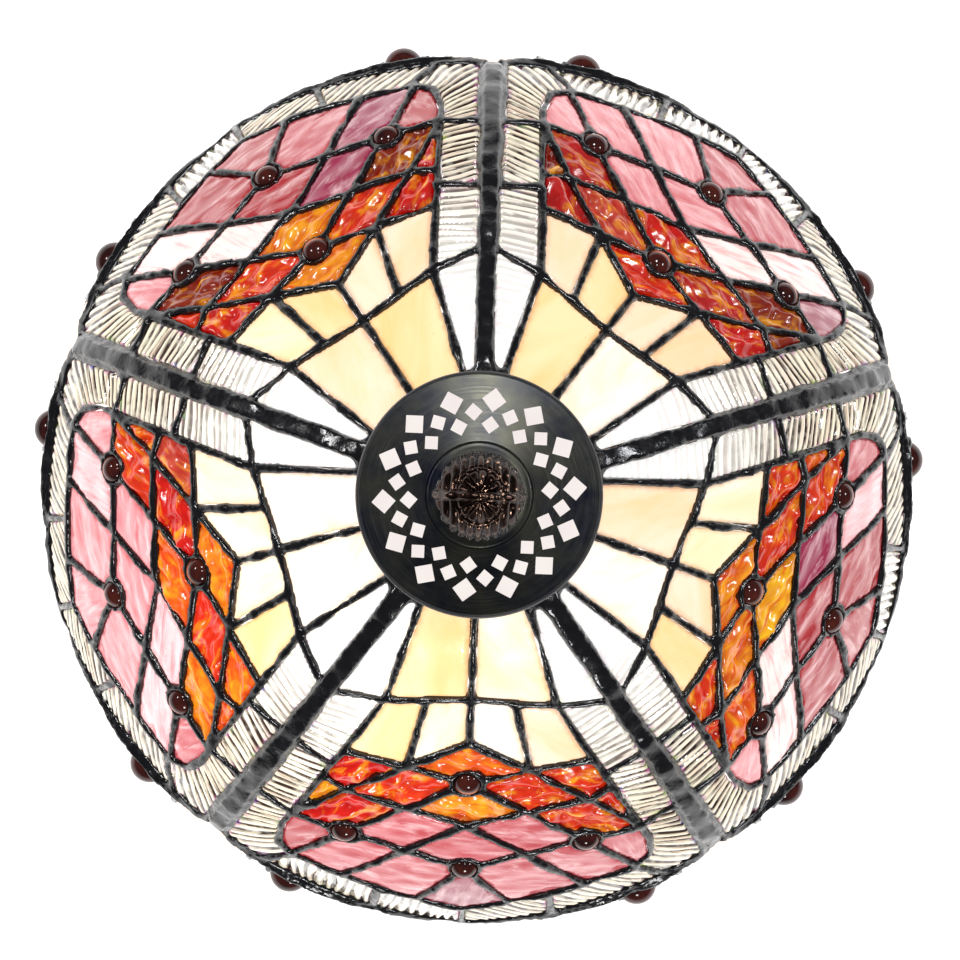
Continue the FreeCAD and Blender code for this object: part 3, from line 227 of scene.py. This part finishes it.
def ripple_material():
    s = Shader("ripple_glass")
    grain, glow, relief = s.attr("grain"), s.attr("glow", "Fac"), s.attr("relief", "Fac")
    far = s.attr("far", "Fac")
    split = s.node("SeparateXYZ", {0: grain})
    across = s.node("CombineXYZ", {0: s.math("MULTIPLY", split.outputs[0], 900.0),
                                   1: s.math("MULTIPLY", split.outputs[1], 55.0), 2: split.outputs[2]}).outputs[0]
    streak = s.noise(across, 1.0, 4.0, 0.6, 0.3)
    smear = s.noise(s.place(grain, (420, 50, 1)), 1.0, 3.0, 0.55, 0.8)
    patch = s.noise(s.place(grain, (110, 170, 1)), 1.0, 2.0)
    # Painted light: near the axis, where the bulb is strongest, the glass is whiter and its streaks fainter.
    white = s.mix(far, srgb(255, 255, 253), srgb(252, 240, 214))
    tan = s.mix(far, srgb(252, 246, 242), srgb(240, 216, 190))
    colour = s.mix(s.grey(smear, 0.42, 0.66), white, tan)
    strong = s.math("MULTIPLY", s.grey(far, 0.1, 0.75, 0.12, 1.0), s.grey(patch, 0.3, 0.5, 0.6, 1.0))
    # Painted shade: dark lines and patches in the grooves stand in for dark things seen refracted through the clear
    # glass.
    refracted_line = s.math("MULTIPLY", s.grey(streak, 0.52, 0.57), s.grey(relief, 0.3, 0.9, 1.0, 0.25))
    refracted_line = s.math("MAXIMUM", refracted_line, s.math("MULTIPLY", s.grey(relief, 0.16, s.grey(far, 0.3, 1.0, 0.3, 0.55), 1.0, 0.0),
                                          s.grey(smear, 0.36, 0.5, 0.45, 1.0)))
    refracted_dark = s.mix(s.grey(patch, 0.4, 0.6), srgb(8, 8, 12), srgb(62, 42, 34))
    refracted_patch = s.math("MULTIPLY", s.grey(s.noise(s.place(grain, (420, 45, 1)), 1.0, 2.0, 0.5, 0.5), 0.5, 0.56),
                  s.grey(relief, 0.35, 0.75, 1.0, 0.0))
    refracted_line = s.math("MAXIMUM", refracted_line, refracted_patch)
    colour = s.mix(s.math("MULTIPLY", refracted_line, strong, clamp=True), colour, refracted_dark)
    hue = s.noise(s.place(grain, (260, 40, 1)), 1.0, 2.0)
    rainbow = s.ramp(hue, [(0.34, srgb(20, 40, 170)), (0.44, srgb(150, 40, 150)), (0.5, srgb(235, 120, 180)),
                           (0.58, srgb(20, 140, 80)), (0.68, srgb(190, 210, 60))])
    rim = s.math("MULTIPLY", s.grey(s.attr("edge", "Fac"), 0.0003, 0.0019, 1.0, 0.0),
                 s.grey(s.noise(s.place(grain, (330, 90, 1)), 1.0, 2.0), 0.47, 0.6))
    rim = s.math("MULTIPLY", rim, s.grey(far, 0.0, 1.0, 0.15, 0.8), clamp=True)
    colour = s.mix(rim, colour, rainbow)
    normal = s.bump(streak, 0.25, 0.0006)
    return lit_glass(s, colour, s.math("MULTIPLY", glow, 0.95), s.mix(0.8, colour, (0.0, 0.0, 0.0)), 0.08, normal, 1.0)


def jewel_material():
    s = Shader("jewel")
    spot = s.node("NewGeometry").outputs["Position"]
    cloud = s.noise(spot, 160.0, 3.0)
    body = s.mix(s.grey(cloud, 0.35, 0.7), srgb(26, 8, 8), srgb(58, 20, 14))
    # Painted light: a glowing copper crescent where the bulb's light gathers in the stone.
    crescent = s.math("MULTIPLY", s.attr("lens", "Fac"), s.grey(cloud, 0.25, 0.6, 0.5, 1.0))
    colour = s.mix(crescent, body, srgb(205, 104, 66))
    face = principled(s, body, 0.06, 0.0, None, Specular_IOR_Level=0.35, Coat_Weight=0.0, Coat_Roughness=0.03,
                      Emission_Color=colour, Emission_Strength=s.grey(crescent, 0.0, 1.0, 0.15, 0.75))
    return s.finish(face)


def cap_material():
    s = Shader("cap_patina")
    spot = s.node("NewGeometry").outputs["Position"]
    split = s.node("SeparateXYZ", {0: spot})
    x, y = split.outputs[0], split.outputs[1]
    reach = s.math("SQRT", s.math("ADD", s.math("MULTIPLY", x, x), s.math("MULTIPLY", y, y)))
    turn = s.math("ARCTAN2", y, x)
    rings = s.noise(s.node("CombineXYZ", {0: s.math("MULTIPLY", reach, 2600.0), 1: s.math("MULTIPLY", turn, 1.6)})
                    .outputs[0], 1.0, 3.0, 0.6)
    cloud = s.noise(spot, 45.0, 4.0, 0.6)
    colour = s.mix(s.grey(cloud, 0.38, 0.64), srgb(30, 32, 44), srgb(66, 66, 58))
    colour = s.mix(s.grey(rings, 0.5, 0.75, 0.0, 0.3), colour, srgb(84, 84, 90))
    # Painted highlight: a thin bright line around the rim's edge.
    colour = s.mix(s.grey(reach, 0.0372, 0.0379), colour, srgb(150, 146, 146))
    shine = s.grey(rings, 0.35, 0.75, 0.3, 0.44)
    return s.finish(principled(s, colour, shine, 0.95, s.bump(rings, 0.1, 0.0002), Anisotropic=0.5))


def plain_material(name, colours, scale, rough, bump=0.2, metal=0.0, **more):
    s = Shader(name)
    spot = s.node("NewGeometry").outputs["Position"]
    cloud = s.noise(spot, scale, 4.0, 0.6)
    fine = s.noise(spot, scale * 9, 3.0)
    colour = s.mix(s.grey(cloud, 0.35, 0.65), *colours)
    return s.finish(principled(s, colour, rough, metal, s.bump(fine, bump, 0.0006), **more))


def bulb_material():
    s = Shader("bulb_lit")
    spot = s.node("NewGeometry").outputs["Position"]
    cloud = s.noise(spot, 40.0, 2.0)
    colour = s.mix(s.grey(cloud, 0.3, 0.7), srgb(255, 236, 200), srgb(255, 246, 226))
    face = principled(s, colour, 0.4, 0.0, None, Emission_Color=colour, Emission_Strength=2.2)
    clear = s.node("BsdfTransparent").outputs[0]
    ray = s.node("LightPath").outputs["Is Shadow Ray"]
    return s.finish(s.node("MixShader", {0: ray, 1: face, 2: clear}).outputs[0])


# ------------------------------------------------------------------ mesh tools

def verts_of(mesh):
    co = np.empty(len(mesh.vertices) * 3, np.float32)
    mesh.vertices.foreach_get("co", co)
    return co.reshape(-1, 3).astype(float)


def normals_of(mesh):
    no = np.empty(len(mesh.vertices) * 3, np.float32)
    mesh.vertex_normals.foreach_get("vector", no)
    return no.reshape(-1, 3).astype(float)


def set_verts(mesh, co):
    mesh.vertices.foreach_set("co", co.astype(np.float32).ravel())
    mesh.update()


def joined(name, names, extra=()):
    """One new object from copies of CAD nodes' meshes, in the row frame, plus any extra (points, faces)."""
    points, faces, base = [], [], 0
    for n in names:
        mesh = CAD[n].data
        co = verts_of(mesh)
        points.append(co)
        faces += [[base + i for i in p.vertices] for p in mesh.polygons]
        base += len(co)
    for co, tris in extra:
        points.append(np.array(co, float))
        faces += [[base + i for i in t] for t in tris]
        base += len(co)
    mesh = bpy.data.meshes.new(name)
    mesh.from_pydata(np.concatenate(points).tolist(), [], faces)
    mesh.validate()
    made = bpy.data.objects.new(name, mesh)
    bpy.context.scene.collection.objects.link(made)
    return made


def bake(made):
    """Apply the object's modifiers."""
    graph = bpy.context.evaluated_depsgraph_get()
    mesh = bpy.data.meshes.new_from_object(made.evaluated_get(graph))
    made.modifiers.clear()
    old, made.data = made.data, mesh
    bpy.data.meshes.remove(old)
    mesh.name = made.name
    mesh.materials.clear()
    mesh.polygons.foreach_set("use_smooth", [True] * len(mesh.polygons))
    return made


def melt(made, voxel, rounds=3, factor=0.5):
    """Re-skin an object with even quads and soften its edges."""
    skin = made.modifiers.new("skin", "REMESH")
    skin.mode, skin.voxel_size, skin.adaptivity = "VOXEL", voxel, 0.0
    if rounds:
        soft = made.modifiers.new("soft", "SMOOTH")
        soft.iterations, soft.factor = rounds, factor
    return bake(made)


def thin(made, ratio):
    made.modifiers.new("thin", "DECIMATE").ratio = ratio
    return bake(made)


def lumps(made, layers, seed=0.0):
    """Push vertices along their normals by soft noise: (size, depth) layers in metres."""
    mesh = made.data
    co, no = verts_of(mesh), normals_of(mesh)
    for size, depth in layers:
        shift = np.array([noise.noise(Vector(p) / size + Vector((seed, seed * 2, 0))) for p in co])
        co = co + no * (shift * depth)[:, None]
    set_verts(mesh, co)
    return made


def islands(mesh):
    """Number of the connected piece that each vertex belongs to."""
    edge = np.empty(len(mesh.edges) * 2, np.int64)
    mesh.edges.foreach_get("vertices", edge)
    edge = edge.reshape(-1, 2)
    label = np.arange(len(mesh.vertices))
    while True:
        low = np.minimum(label[edge[:, 0]], label[edge[:, 1]])
        new = label.copy()
        np.minimum.at(new, edge[:, 0], low)
        np.minimum.at(new, edge[:, 1], low)
        new = new[new]
        if (new == label).all():
            return np.unique(label, return_inverse=True)[1]
        label = new


def give(mesh, name, values, kind="FLOAT"):
    layer = mesh.attributes.new(name, kind, "POINT")
    field = {"FLOAT": "value", "FLOAT_VECTOR": "vector", "FLOAT_COLOR": "color"}[kind]
    layer.data.foreach_set(field, np.asarray(values, np.float32).ravel())


# ------------------------------------------------------------------ which sheet each piece is cut from

SHEETS = {
    "w": (255, 248, 238), "c": (254, 238, 214), "k": (247, 220, 192), "a": (249, 216, 166), "y": (252, 234, 202),
    "R": (206, 26, 12), "V": (222, 58, 16), "O": (236, 104, 18), "A": (238, 142, 26), "Y": (250, 190, 26),
    "B": (142, 50, 22), "S": (200, 74, 56), "D": (190, 44, 44),
    "p": (226, 172, 174), "l": (210, 130, 134), "r": (182, 84, 90), "d": (162, 46, 52), "m": (150, 80, 92),
    "g": (142, 38, 70), "x": (238, 214, 208),
}
# pieces in lattice order A1 A3 A5, B0 B2 B4 B6, C1 C3 C5, D0 D2 D4 D6, E1 E3 E5, F2 F4, G3
LATTICE = [(c, r) for r in range(7) for c in range(7)
           if (c + r) % 2 and not (r == 5 and c not in (2, 4)) and not (r == 6 and c != 3)]
# one row for each panel, at -90, -18, 54, 126 and 198 degrees
PANEL_SHEETS = [
    ("ROV", "YVVV", "RAV", "drdr", "mrd", "rlm", "ac", "acwk"),
    ("VAV", "VAVO", "OYV", "lxgr", "llp", "lxd", "wk", "akyc"),
    ("RVD", "BDSB", "BRD", "mxll", "llp", "rll", "wa", "kkak"),
    ("RAR", "RVVV", "BAB", "dgxl", "mdg", "rdm", "ak", "kkay"),
    ("SAO", "ORVO", "VOA", "llpr", "pld", "rll", "ww", "ccca"),
]


def plan_of(column, row):
    """Nominal plan place of a lattice piece, panel middle along x."""
    away = abs(column - 3)
    x = 0.087 + 0.00705 * row + 0.00015 * row * row + 0.0022 * away
    y = min(0.020 * away, (x * math.sin(math.radians(36)) - 0.019) / math.cos(math.radians(36)))
    return x, (y if column >= 3 else -y)


def panel_of(middle):
    angle = math.degrees(math.atan2(middle[1], middle[0]))
    index = int(round((angle + 90) / 72.0)) % 5
    local = math.radians(angle - (-90 + 72 * index))
    reach = math.hypot(middle[0], middle[1])
    return index, reach * math.cos(local), reach * math.sin(local)


def sheet_for(kind, middle):
    index, x, y = panel_of(middle)
    rows = PANEL_SHEETS[index]
    if kind in ("fire_glass", "pink_glass"):
        some = [cr for cr in LATTICE if (cr[1] < 3) == (kind == "fire_glass")]
        near = min(some, key=lambda cr: (plan_of(*cr)[0] - x) ** 2 + (plan_of(*cr)[1] - y) ** 2)
        letters = "".join(rows[:5]) + rows[5]
        return letters[LATTICE.index(near)]
    if kind == "cream_inner":
        return rows[6][0 if y < 0 else 1]
    if kind == "cream_outer":
        return rows[7][int(np.searchsorted([-0.0195, 0.0, 0.0195], y))]
    return {"skirt_rim_glass": "ckya", "skirt_peak": "k", "skirt_pink": "lrp"}[kind][
        int(abs(y * 7919 + x * 104729) * 1000) % len({"skirt_rim_glass": "ckya", "skirt_peak": "k",
                                                      "skirt_pink": "lrp"}[kind])]


def dress(made, kind, ripple=0.0, pitch=0.003, lump=()):
    """Per piece: frame of its own, glow, tint and relief; the outer face is rippled or waved."""
    mesh = made.data
    co, no = verts_of(mesh), normals_of(mesh)
    part = islands(mesh)
    grain, edge = np.zeros_like(co), np.zeros(len(co))
    tint, relief = np.ones((len(co), 4)), np.ones(len(co)) * 0.5
    moved = co.copy()
    for number in range(part.max() + 1):
        pick = np.nonzero(part == number)[0]
        p = co[pick]
        middle = (p.max(0) + p.min(0)) / 2
        across, _, axes = np.linalg.svd(p - p.mean(0), full_matrices=False)
        long, wide, out = axes[0], axes[1], axes[2]
        if out @ np.array([middle[0], middle[1], middle[2] - 0.33]) < 0:
            out = -out
        local = p - p.mean(0)
        s, t, up = local @ long, local @ wide, local @ out
        seed = (number * 0.6180339) % 1.0 * 37.0
        if kind == "ripple_corner":
            index, mx, my = panel_of(middle)
            turn = math.radians(-90 + 72 * index)
            hub = Vector((0.104, math.copysign(0.036, my), 0)) - Vector((mx, my, 0))
            hub = np.array([hub.x * math.cos(turn) - hub.y * math.sin(turn),
                            hub.x * math.sin(turn) + hub.y * math.cos(turn), 0.012])
            a, b = s - hub @ long, t - hub @ wide
            s, t = np.unwrap(np.arctan2(b, a) - math.atan2(-(hub @ wide), -(hub @ long))) * 0.030, np.hypot(a, b)
            s = (s + 0.0942) % 0.1885 - 0.0942
        else:
            low, high = (14, 28) if kind == "ripple_bottom" else (-12, 12) if ripple else (-35, 35)
            angle = math.radians(rng.uniform(low, high))
            s, t = s * math.cos(angle) - t * math.sin(angle), s * math.sin(angle) + t * math.cos(angle)
        grain[pick] = np.stack([s + seed, t + seed * 2, np.full(len(s), seed)], 1)
        front = np.clip((no[pick] @ out - 0.35) / 0.4, 0, 1)
        side = np.nonzero(front < 0.25)[0]
        if len(side):
            rim = local[side]
            gap = np.empty(len(p))
            for start in range(0, len(p), 4000):
                block = local[start:start + 4000]
                d = ((block[:, None, :] - rim[None, ::3, :]) ** 2).sum(2)
                gap[start:start + 4000] = np.sqrt(d.min(1))
            edge[pick] = gap
        if not ripple:
            letter = sheet_for(kind, middle)
            tint[pick, :3] = srgb(*SHEETS[letter])
        push = np.zeros(len(p))
        if ripple:
            wobble = np.array([noise.noise(Vector((a * 160 + seed, b * 70, 0))) for a, b in zip(s, t)])
            wave = np.sin(2 * math.pi * (s / pitch + wobble * 0.45) + seed) * 0.5 + 0.5
            relief[pick] = wave
            push += ripple * (wave ** 0.6 - 0.6)
        for size, depth, stretch in lump:
            raw = np.array([noise.noise(Vector((a / size, b / size * stretch, seed))) for a, b in zip(s, t)])
            relief[pick] = np.clip(raw + 0.5, 0, 1)
            push += raw * depth
        calm = np.clip(edge[pick] / 0.0010, 0, 1)
        moved[pick] = p + out * (push * front * calm)[:, None]
    set_verts(mesh, moved)
    far = np.hypot(co[:, 0], co[:, 1])
    lamp = np.linalg.norm(co - BULB, axis=1)
    give(mesh, "grain", grain, "FLOAT_VECTOR")
    give(mesh, "tint", tint, "FLOAT_COLOR")
    give(mesh, "edge", edge)
    give(mesh, "relief", relief)
    # Painted light: the glass glows brighter the nearer it is to the bulb.
    give(mesh, "glow", np.clip(0.66 + 0.5 * (0.085 / lamp) ** 1.8, 0.7, 2.2))
    # Distance out from the axis; the ripple glass uses it for painted glare, whiter with fainter streaks near the cap.
    give(mesh, "far", np.clip((far - 0.058) / 0.055, 0, 1) ** 1.3)
    return made


def put_on(made, body, nodes, material):
    made.data.materials.clear()
    made.data.materials.append(material)
    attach(made, body)
    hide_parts(*nodes)
    return made


# ------------------------------------------------------------------ shade

SOLDER, CREAM, PINK = solder_material(), cream_material(), pink_material()
FIRE, RIPPLE, JEWEL, CAP = fire_material(), ripple_material(), jewel_material(), cap_material()

LEADS = ("lead_lattice", "ridge_cames", "skirt_leads", "rim_wire")
leads = melt(joined("solder_net", LEADS), 0.0008, 3, 0.5)
lumps(leads, [(0.012, 0.0008), (0.0062, 0.0006), (0.0023, 0.00022)], 3.0)
thin(leads, 0.35)
put_on(leads, "shade", LEADS, SOLDER)

PITCH = {"ripple_side": 0.0028, "ripple_corner": 0.0031, "ripple_bottom": 0.0034}
for node, voxel, kind, ripple, lump, material, slot in (
        ("cream_inner", 0.0011, "cream_inner", 0, [(0.012, 0.0005, 1.0)], CREAM, "cream_glass"),
        ("cream_outer", 0.0010, "cream_outer", 0, [(0.010, 0.0004, 1.0)], CREAM, "cream_glass"),
        ("skirt_peak", 0.0011, "skirt_peak", 0, [(0.010, 0.0004, 1.0)], CREAM, "cream_glass"),
        ("skirt_rim_glass", 0.0012, "skirt_rim_glass", 0, [(0.010, 0.0004, 1.0)], CREAM, "cream_glass"),
        ("skirt_pink", 0.0011, "skirt_pink", 0, [(0.008, 0.0005, 1.0)], PINK, "pink_glass"),
        ("pink_glass", 0.0009, "pink_glass", 0, [(0.008, 0.0006, 1.6)], PINK, "pink_glass"),
        ("fire_glass", 0.0007, "fire_glass", 0, [(0.0075, 0.0024, 1.8), (0.0036, 0.0007, 1.3)], FIRE, "fire_glass"),
        ("ripple_side", 0.00065, "ripple_side", 0.0010, [], RIPPLE, "ripple_glass"),
        ("ripple_corner", 0.00065, "ripple_corner", 0.0010, [], RIPPLE, "ripple_glass"),
        ("ripple_bottom", 0.00065, "ripple_bottom", 0.0010, [], RIPPLE, "ripple_glass")):
    glass = melt(joined(node + "_sheet", [node]), voxel, 2, 0.5)
    dress(glass, kind, ripple, PITCH.get(node, 0), lump)
    put_on(glass, "shade", [node], material)

for node in ("panel_jewels", "skirt_jewels"):
    stones = melt(joined(node + "_polished", [node]), 0.0005, 3)
    co, part = verts_of(stones.data), islands(stones.data)
    # Painted light: a bright crescent on the lower outer side of each stone, where the bulb's light gathers.
    lens = np.zeros(len(co))
    for number in range(part.max() + 1):
        pick = part == number
        middle = (co[pick].max(0) + co[pick].min(0)) / 2
        local = co[pick] - middle
        axis = np.linalg.svd(local, full_matrices=False)[2][2]
        down = np.array([middle[0], middle[1], -0.5 * np.hypot(middle[0], middle[1])])
        down -= axis * (down @ axis)
        down /= np.linalg.norm(down)
        u = local @ down / np.abs(local @ down).max()
        lens[pick] = np.clip((u - 0.12) / 0.3, 0, 1) * np.clip((0.86 - u) / 0.12, 0, 1)
    give(stones.data, "lens", lens)
    put_on(stones, "shade", [node], JEWEL)

# ------------------------------------------------------------------ metal and the rest

BRONZE = metal_material("bronze", srgb(34, 24, 18), srgb(92, 62, 38), (0.3, 0.55), 0.85, 700.0, 0.2, srgb(170, 120, 70))
# Finial: raised edges pale (worn and painted highlight), sideways faces near black (painted shade).
AGED = metal_material("bronze_finial", srgb(22, 17, 16), srgb(66, 50, 44), (0.14, 0.26), 1.0, 900.0, 0.05,
                      srgb(218, 172, 144), srgb(8, 6, 6))
BRASS = metal_material("brass", srgb(150, 112, 56), srgb(196, 158, 92), (0.2, 0.38), 1.0, 1200.0, 0.1)
STEEL = metal_material("steel", srgb(120, 120, 122), srgb(170, 170, 172), (0.25, 0.4), 1.0, 1500.0, 0.1)
IRON = metal_material("iron", srgb(38, 38, 40), srgb(62, 60, 58), (0.5, 0.7), 0.7, 500.0, 0.4)
FELT = plain_material("felt", (srgb(28, 40, 30), srgb(40, 54, 42)), 400.0, 0.95, 0.6)
CORD = plain_material("cord_vinyl", (srgb(52, 36, 26), srgb(66, 46, 34)), 90.0, 0.38, 0.1)
CERAMIC = plain_material("ceramic", (srgb(226, 220, 206), srgb(236, 232, 222)), 60.0, 0.25, 0.05)
LIT = bulb_material()

CASTINGS = (("base_foot", 0.0014), ("stem_lower", 0.0010), ("stem_knop", 0.0008), ("stem_upper", 0.0009),
            ("stem_crown", 0.0008))
for node, voxel in CASTINGS:
    cast = melt(joined(node + "_cast", [node]), voxel, 3)
    lumps(cast, [(0.009, 0.0004), (0.003, 0.0003)], 5.0)
    put_on(cast, "base", [node], BRONZE)


def finial_mesh(name, turns=300, rings=200):
    """Cast finial: palm leaves on both faces, upright reeds on the flanks and a beaded keel along x."""
    levels = np.array([0, 1.5, 4.0, 5.5, 9.0, 12.0, 15.0, 19.0, 23.0, 26.5, 29.0, 30.6, 31.4, 31.6])
    widths = np.array([8.6, 9.4, 8.6, 8.6, 11.2, 12.9, 13.5, 13.3, 11.9, 9.4, 6.7, 4.0, 1.7, 0.02])
    run = np.concatenate([[0], np.cumsum(np.hypot(np.diff(levels), np.diff(widths)))])
    even = np.linspace(0, run[-1], rings)
    level, width = np.interp(even, run, levels), np.interp(even, run, widths)
    for _ in range(12):
        width[1:-1] = (width[:-2] + width[1:-1] * 2 + width[2:]) / 4
        level[1:-1] = (level[:-2] + level[1:-1] * 2 + level[2:]) / 4
    turn = np.linspace(0, 2 * math.pi, turns, endpoint=False)
    x, y = width[:, None] * np.cos(turn), width[:, None] * np.sin(turn)
    high = np.broadcast_to(level[:, None], x.shape)
    slope = np.arctan2(np.gradient(level), -np.gradient(width))[:, None]
    face, fan = np.abs(y), np.arctan2(np.abs(y) - 1.0, x)
    reach = np.hypot(x, face - 1.0)
    top = np.clip((high - 7.0) / 4.0, 0, 1)
    leaf = np.abs(np.cos(fan * 6.5)) ** 0.5 * np.clip(reach / 2.5, 0, 1) * np.clip((7.4 - reach) / 1.0, 0, 1)
    reeds = np.abs(np.cos(x * 1.15)) ** 0.6 * np.clip((reach - 7.4) / 1.0, 0, 1)
    arch = np.exp(-((reach - 7.5) / 0.5) ** 2)
    drop = np.exp(-(x / 1.4) ** 2 - ((face - 4.8) / 2.4) ** 2)
    keel = np.exp(-(y / 1.25) ** 4) * (0.75 + 0.3 * np.cos(x * 1.35))
    push = (leaf * 0.9 + reeds * 1.1 + arch * 0.7 + drop * 1.2 - 1.0) * (1 - np.exp(-(y / 1.5) ** 4))
    push = (push + keel) * top
    x, y = x + push * np.sin(slope) * np.cos(turn), y + push * np.sin(slope) * np.sin(turn)
    high = np.minimum(high + push * np.cos(slope), 33.4)
    points = np.stack([x, y, high + 453.6], 2).reshape(-1, 3) / 1000
    faces = [(r * turns + c, r * turns + (c + 1) % turns, (r + 1) * turns + (c + 1) % turns, (r + 1) * turns + c)
             for r in range(rings - 1) for c in range(turns)]
    faces += [tuple(range(turns))[::-1], tuple((rings - 1) * turns + c for c in range(turns))]
    mesh = bpy.data.meshes.new(name)
    mesh.from_pydata(points.tolist(), [], faces)
    mesh.polygons.foreach_set("use_smooth", [True] * len(mesh.polygons))
    made = bpy.data.objects.new(name, mesh)
    bpy.context.scene.collection.objects.link(made)
    return made


def dish_mesh(name, profile, turns=160):
    """Turned ring from a closed outline of (radius, height) in millimetres."""
    turn = np.linspace(0, 2 * math.pi, turns, endpoint=False)
    outline = np.array(profile) / 1000
    points = [(r * math.cos(t), r * math.sin(t), z) for r, z in outline for t in turn]
    count = len(outline)
    faces = [(i * turns + c, i * turns + (c + 1) % turns, (i + 1) % count * turns + (c + 1) % turns,
              (i + 1) % count * turns + c) for i in range(count) for c in range(turns)]
    mesh = bpy.data.meshes.new(name)
    mesh.from_pydata(points, [], faces)
    mesh.polygons.foreach_set("use_smooth", [True] * len(mesh.polygons))
    made = bpy.data.objects.new(name, mesh)
    bpy.context.scene.collection.objects.link(made)
    return made


finial = finial_mesh("finial_cast")
lumps(finial, [(0.003, 0.00015)], 9.0)
put_on(finial, "finial", ["finial"], AGED)
seat = dish_mesh("finial_seat", [(5.4, 452.45), (16.2, 452.45), (16.35, 453.3), (15.6, 453.75), (13.5, 453.8), (9.5, 453.6), (5.4, 453.6)])
put_on(seat, "finial_washer", ["finial_washer"], CAP)
pull = melt(joined("chain_pull_cast", ["chain_pull"]), 0.0005, 2)
put_on(pull, "chain", ["chain_pull"], BRONZE)

SLOT_FINISH = {"felt": FELT, "steel": STEEL, "iron": IRON, "brass": BRASS, "heat_cap": CAP, "ceramic": CERAMIC,
               "bulb": LIT, "cord": CORD, "bronze": BRONZE, "solder": SOLDER}
for entry in frame["record"]["subparts"]:
    thing = CAD[entry["node"]]
    if thing.hide_render:
        continue
    finish_name = entry["material_slot"]
    thing.data.materials.clear()
    thing.data.materials.append(SLOT_FINISH[finish_name])

# ------------------------------------------------------------------ light, floor, camera

def area(name, place, aim, size, power, colour=(1, 1, 1)):
    lamp = bpy.data.lights.new(name, "AREA")
    lamp.shape, lamp.size, lamp.energy, lamp.color = "DISK", size, power, colour
    made = bpy.data.objects.new(name, lamp)
    made.location = place
    made.rotation_euler = (Vector(aim) - Vector(place)).to_track_quat("-Z", "Y").to_euler()
    bpy.context.scene.collection.objects.link(made)
    return made


area("key", (0.05, 0.78, 1.62), (0, 0, 0.42), 0.30, 9.0)
area("side", (1.15, 0.25, 1.35), (0, 0, 0.38), 0.30, 8.0, (0.94, 0.96, 1))
area("back", (-0.95, 0.35, 1.2), (0, 0, 0.36), 0.25, 6.0)
area("crest", (0.16, 0.1, 2.0), (0, 0, 0.42), 0.16, 3.0)
area("low", (0.15, -1.3, 1.1), (0, 0, 0.34), 0.30, 7.0)
inner = bpy.data.lights.new("bulb_light", "POINT")
inner.energy, inner.shadow_soft_size, inner.color = 1.2, 0.02, (1.0, 0.86, 0.66)
glow_lamp = bpy.data.objects.new("bulb_light", inner)
glow_lamp.location = BULB
bpy.context.scene.collection.objects.link(glow_lamp)

world = bpy.data.worlds.new("studio")
bpy.context.scene.world = world
world.use_nodes = True
tree = world.node_tree
tree.nodes.clear()
path = tree.nodes.new("ShaderNodeLightPath")
dim, bright = tree.nodes.new("ShaderNodeBackground"), tree.nodes.new("ShaderNodeBackground")
bright.inputs[0].default_value, bright.inputs[1].default_value = (1, 1, 1, 1), 1.0
dim.inputs[0].default_value, dim.inputs[1].default_value = (0.9, 0.94, 1, 1), 0.13
blend = tree.nodes.new("ShaderNodeMixShader")
end = tree.nodes.new("ShaderNodeOutputWorld")
tree.links.new(path.outputs["Is Glossy Ray"], blend.inputs[0])
tree.links.new(bright.outputs[0], blend.inputs[1])
tree.links.new(dim.outputs[0], blend.inputs[2])
tree.links.new(blend.outputs[0], end.inputs[0])

# Painted light: a glowing white ring under the cap stands in for the lit inside of the shade seen through the vents.
ring, glare = 48, []
for radius in (0.0125, 0.0330):
    glare += [(radius * math.cos(k * 2 * math.pi / ring), radius * math.sin(k * 2 * math.pi / ring), 0.4463)
              for k in range(ring)]
glare_mesh = bpy.data.meshes.new("bulb_glare")
glare_mesh.from_pydata(glare, [], [(k, (k + 1) % ring, ring + (k + 1) % ring, ring + k) for k in range(ring)])
shine = Shader("bulb_glare")
haze = shine.noise(shine.node("NewGeometry").outputs["Position"], 60.0, 2.0)
glare_mesh.materials.append(shine.finish(shine.node("Emission", {
    0: shine.mix(shine.grey(haze, 0.3, 0.7), srgb(244, 234, 232), srgb(252, 244, 238)), 1: 1.0}).outputs[0]))
glare_sheet = bpy.data.objects.new("bulb_glare", glare_mesh)
bpy.context.scene.collection.objects.link(glare_sheet)

floor_mesh = bpy.data.meshes.new("floor")
floor_mesh.from_pydata([(-6, -6, -0.0005), (6, -6, -0.0005), (6, 6, -0.0005), (-6, 6, -0.0005)], [], [(0, 1, 2, 3)])
floor = bpy.data.objects.new("floor", floor_mesh)
bpy.context.scene.collection.objects.link(floor)
floor_mesh.materials.append(plain_material("floor_paper", (srgb(252, 252, 252), srgb(255, 255, 255)), 3.0, 0.9, 0.0))

camera = bpy.data.cameras.new("camera")
camera.lens, camera.sensor_width = 119.9, 36.0
camera.clip_start, camera.clip_end = 0.01, 50.0
view = bpy.data.objects.new("camera", camera)
bpy.context.scene.collection.objects.link(view)
roll = math.radians(2.1)
side, up = Vector((math.cos(roll), math.sin(roll), 0)), Vector((-math.sin(roll), math.cos(roll), 0))
spot = side * -0.0050 + up * 0.0155 + Vector((0, 0, HIGH + 1.14))
target = side * 0.0009 + up * 0.0031 + Vector((0, 0, HIGH + 0.035))
back = (spot - target).normalized()
right = up.cross(back).normalized()
true_up = back.cross(right)
view.matrix_world = Matrix(((right.x, true_up.x, back.x, spot.x), (right.y, true_up.y, back.y, spot.y),
                            (right.z, true_up.z, back.z, spot.z), (0, 0, 0, 1)))
bpy.context.scene.camera = view
bpy.context.scene.view_settings.view_transform = "Standard"
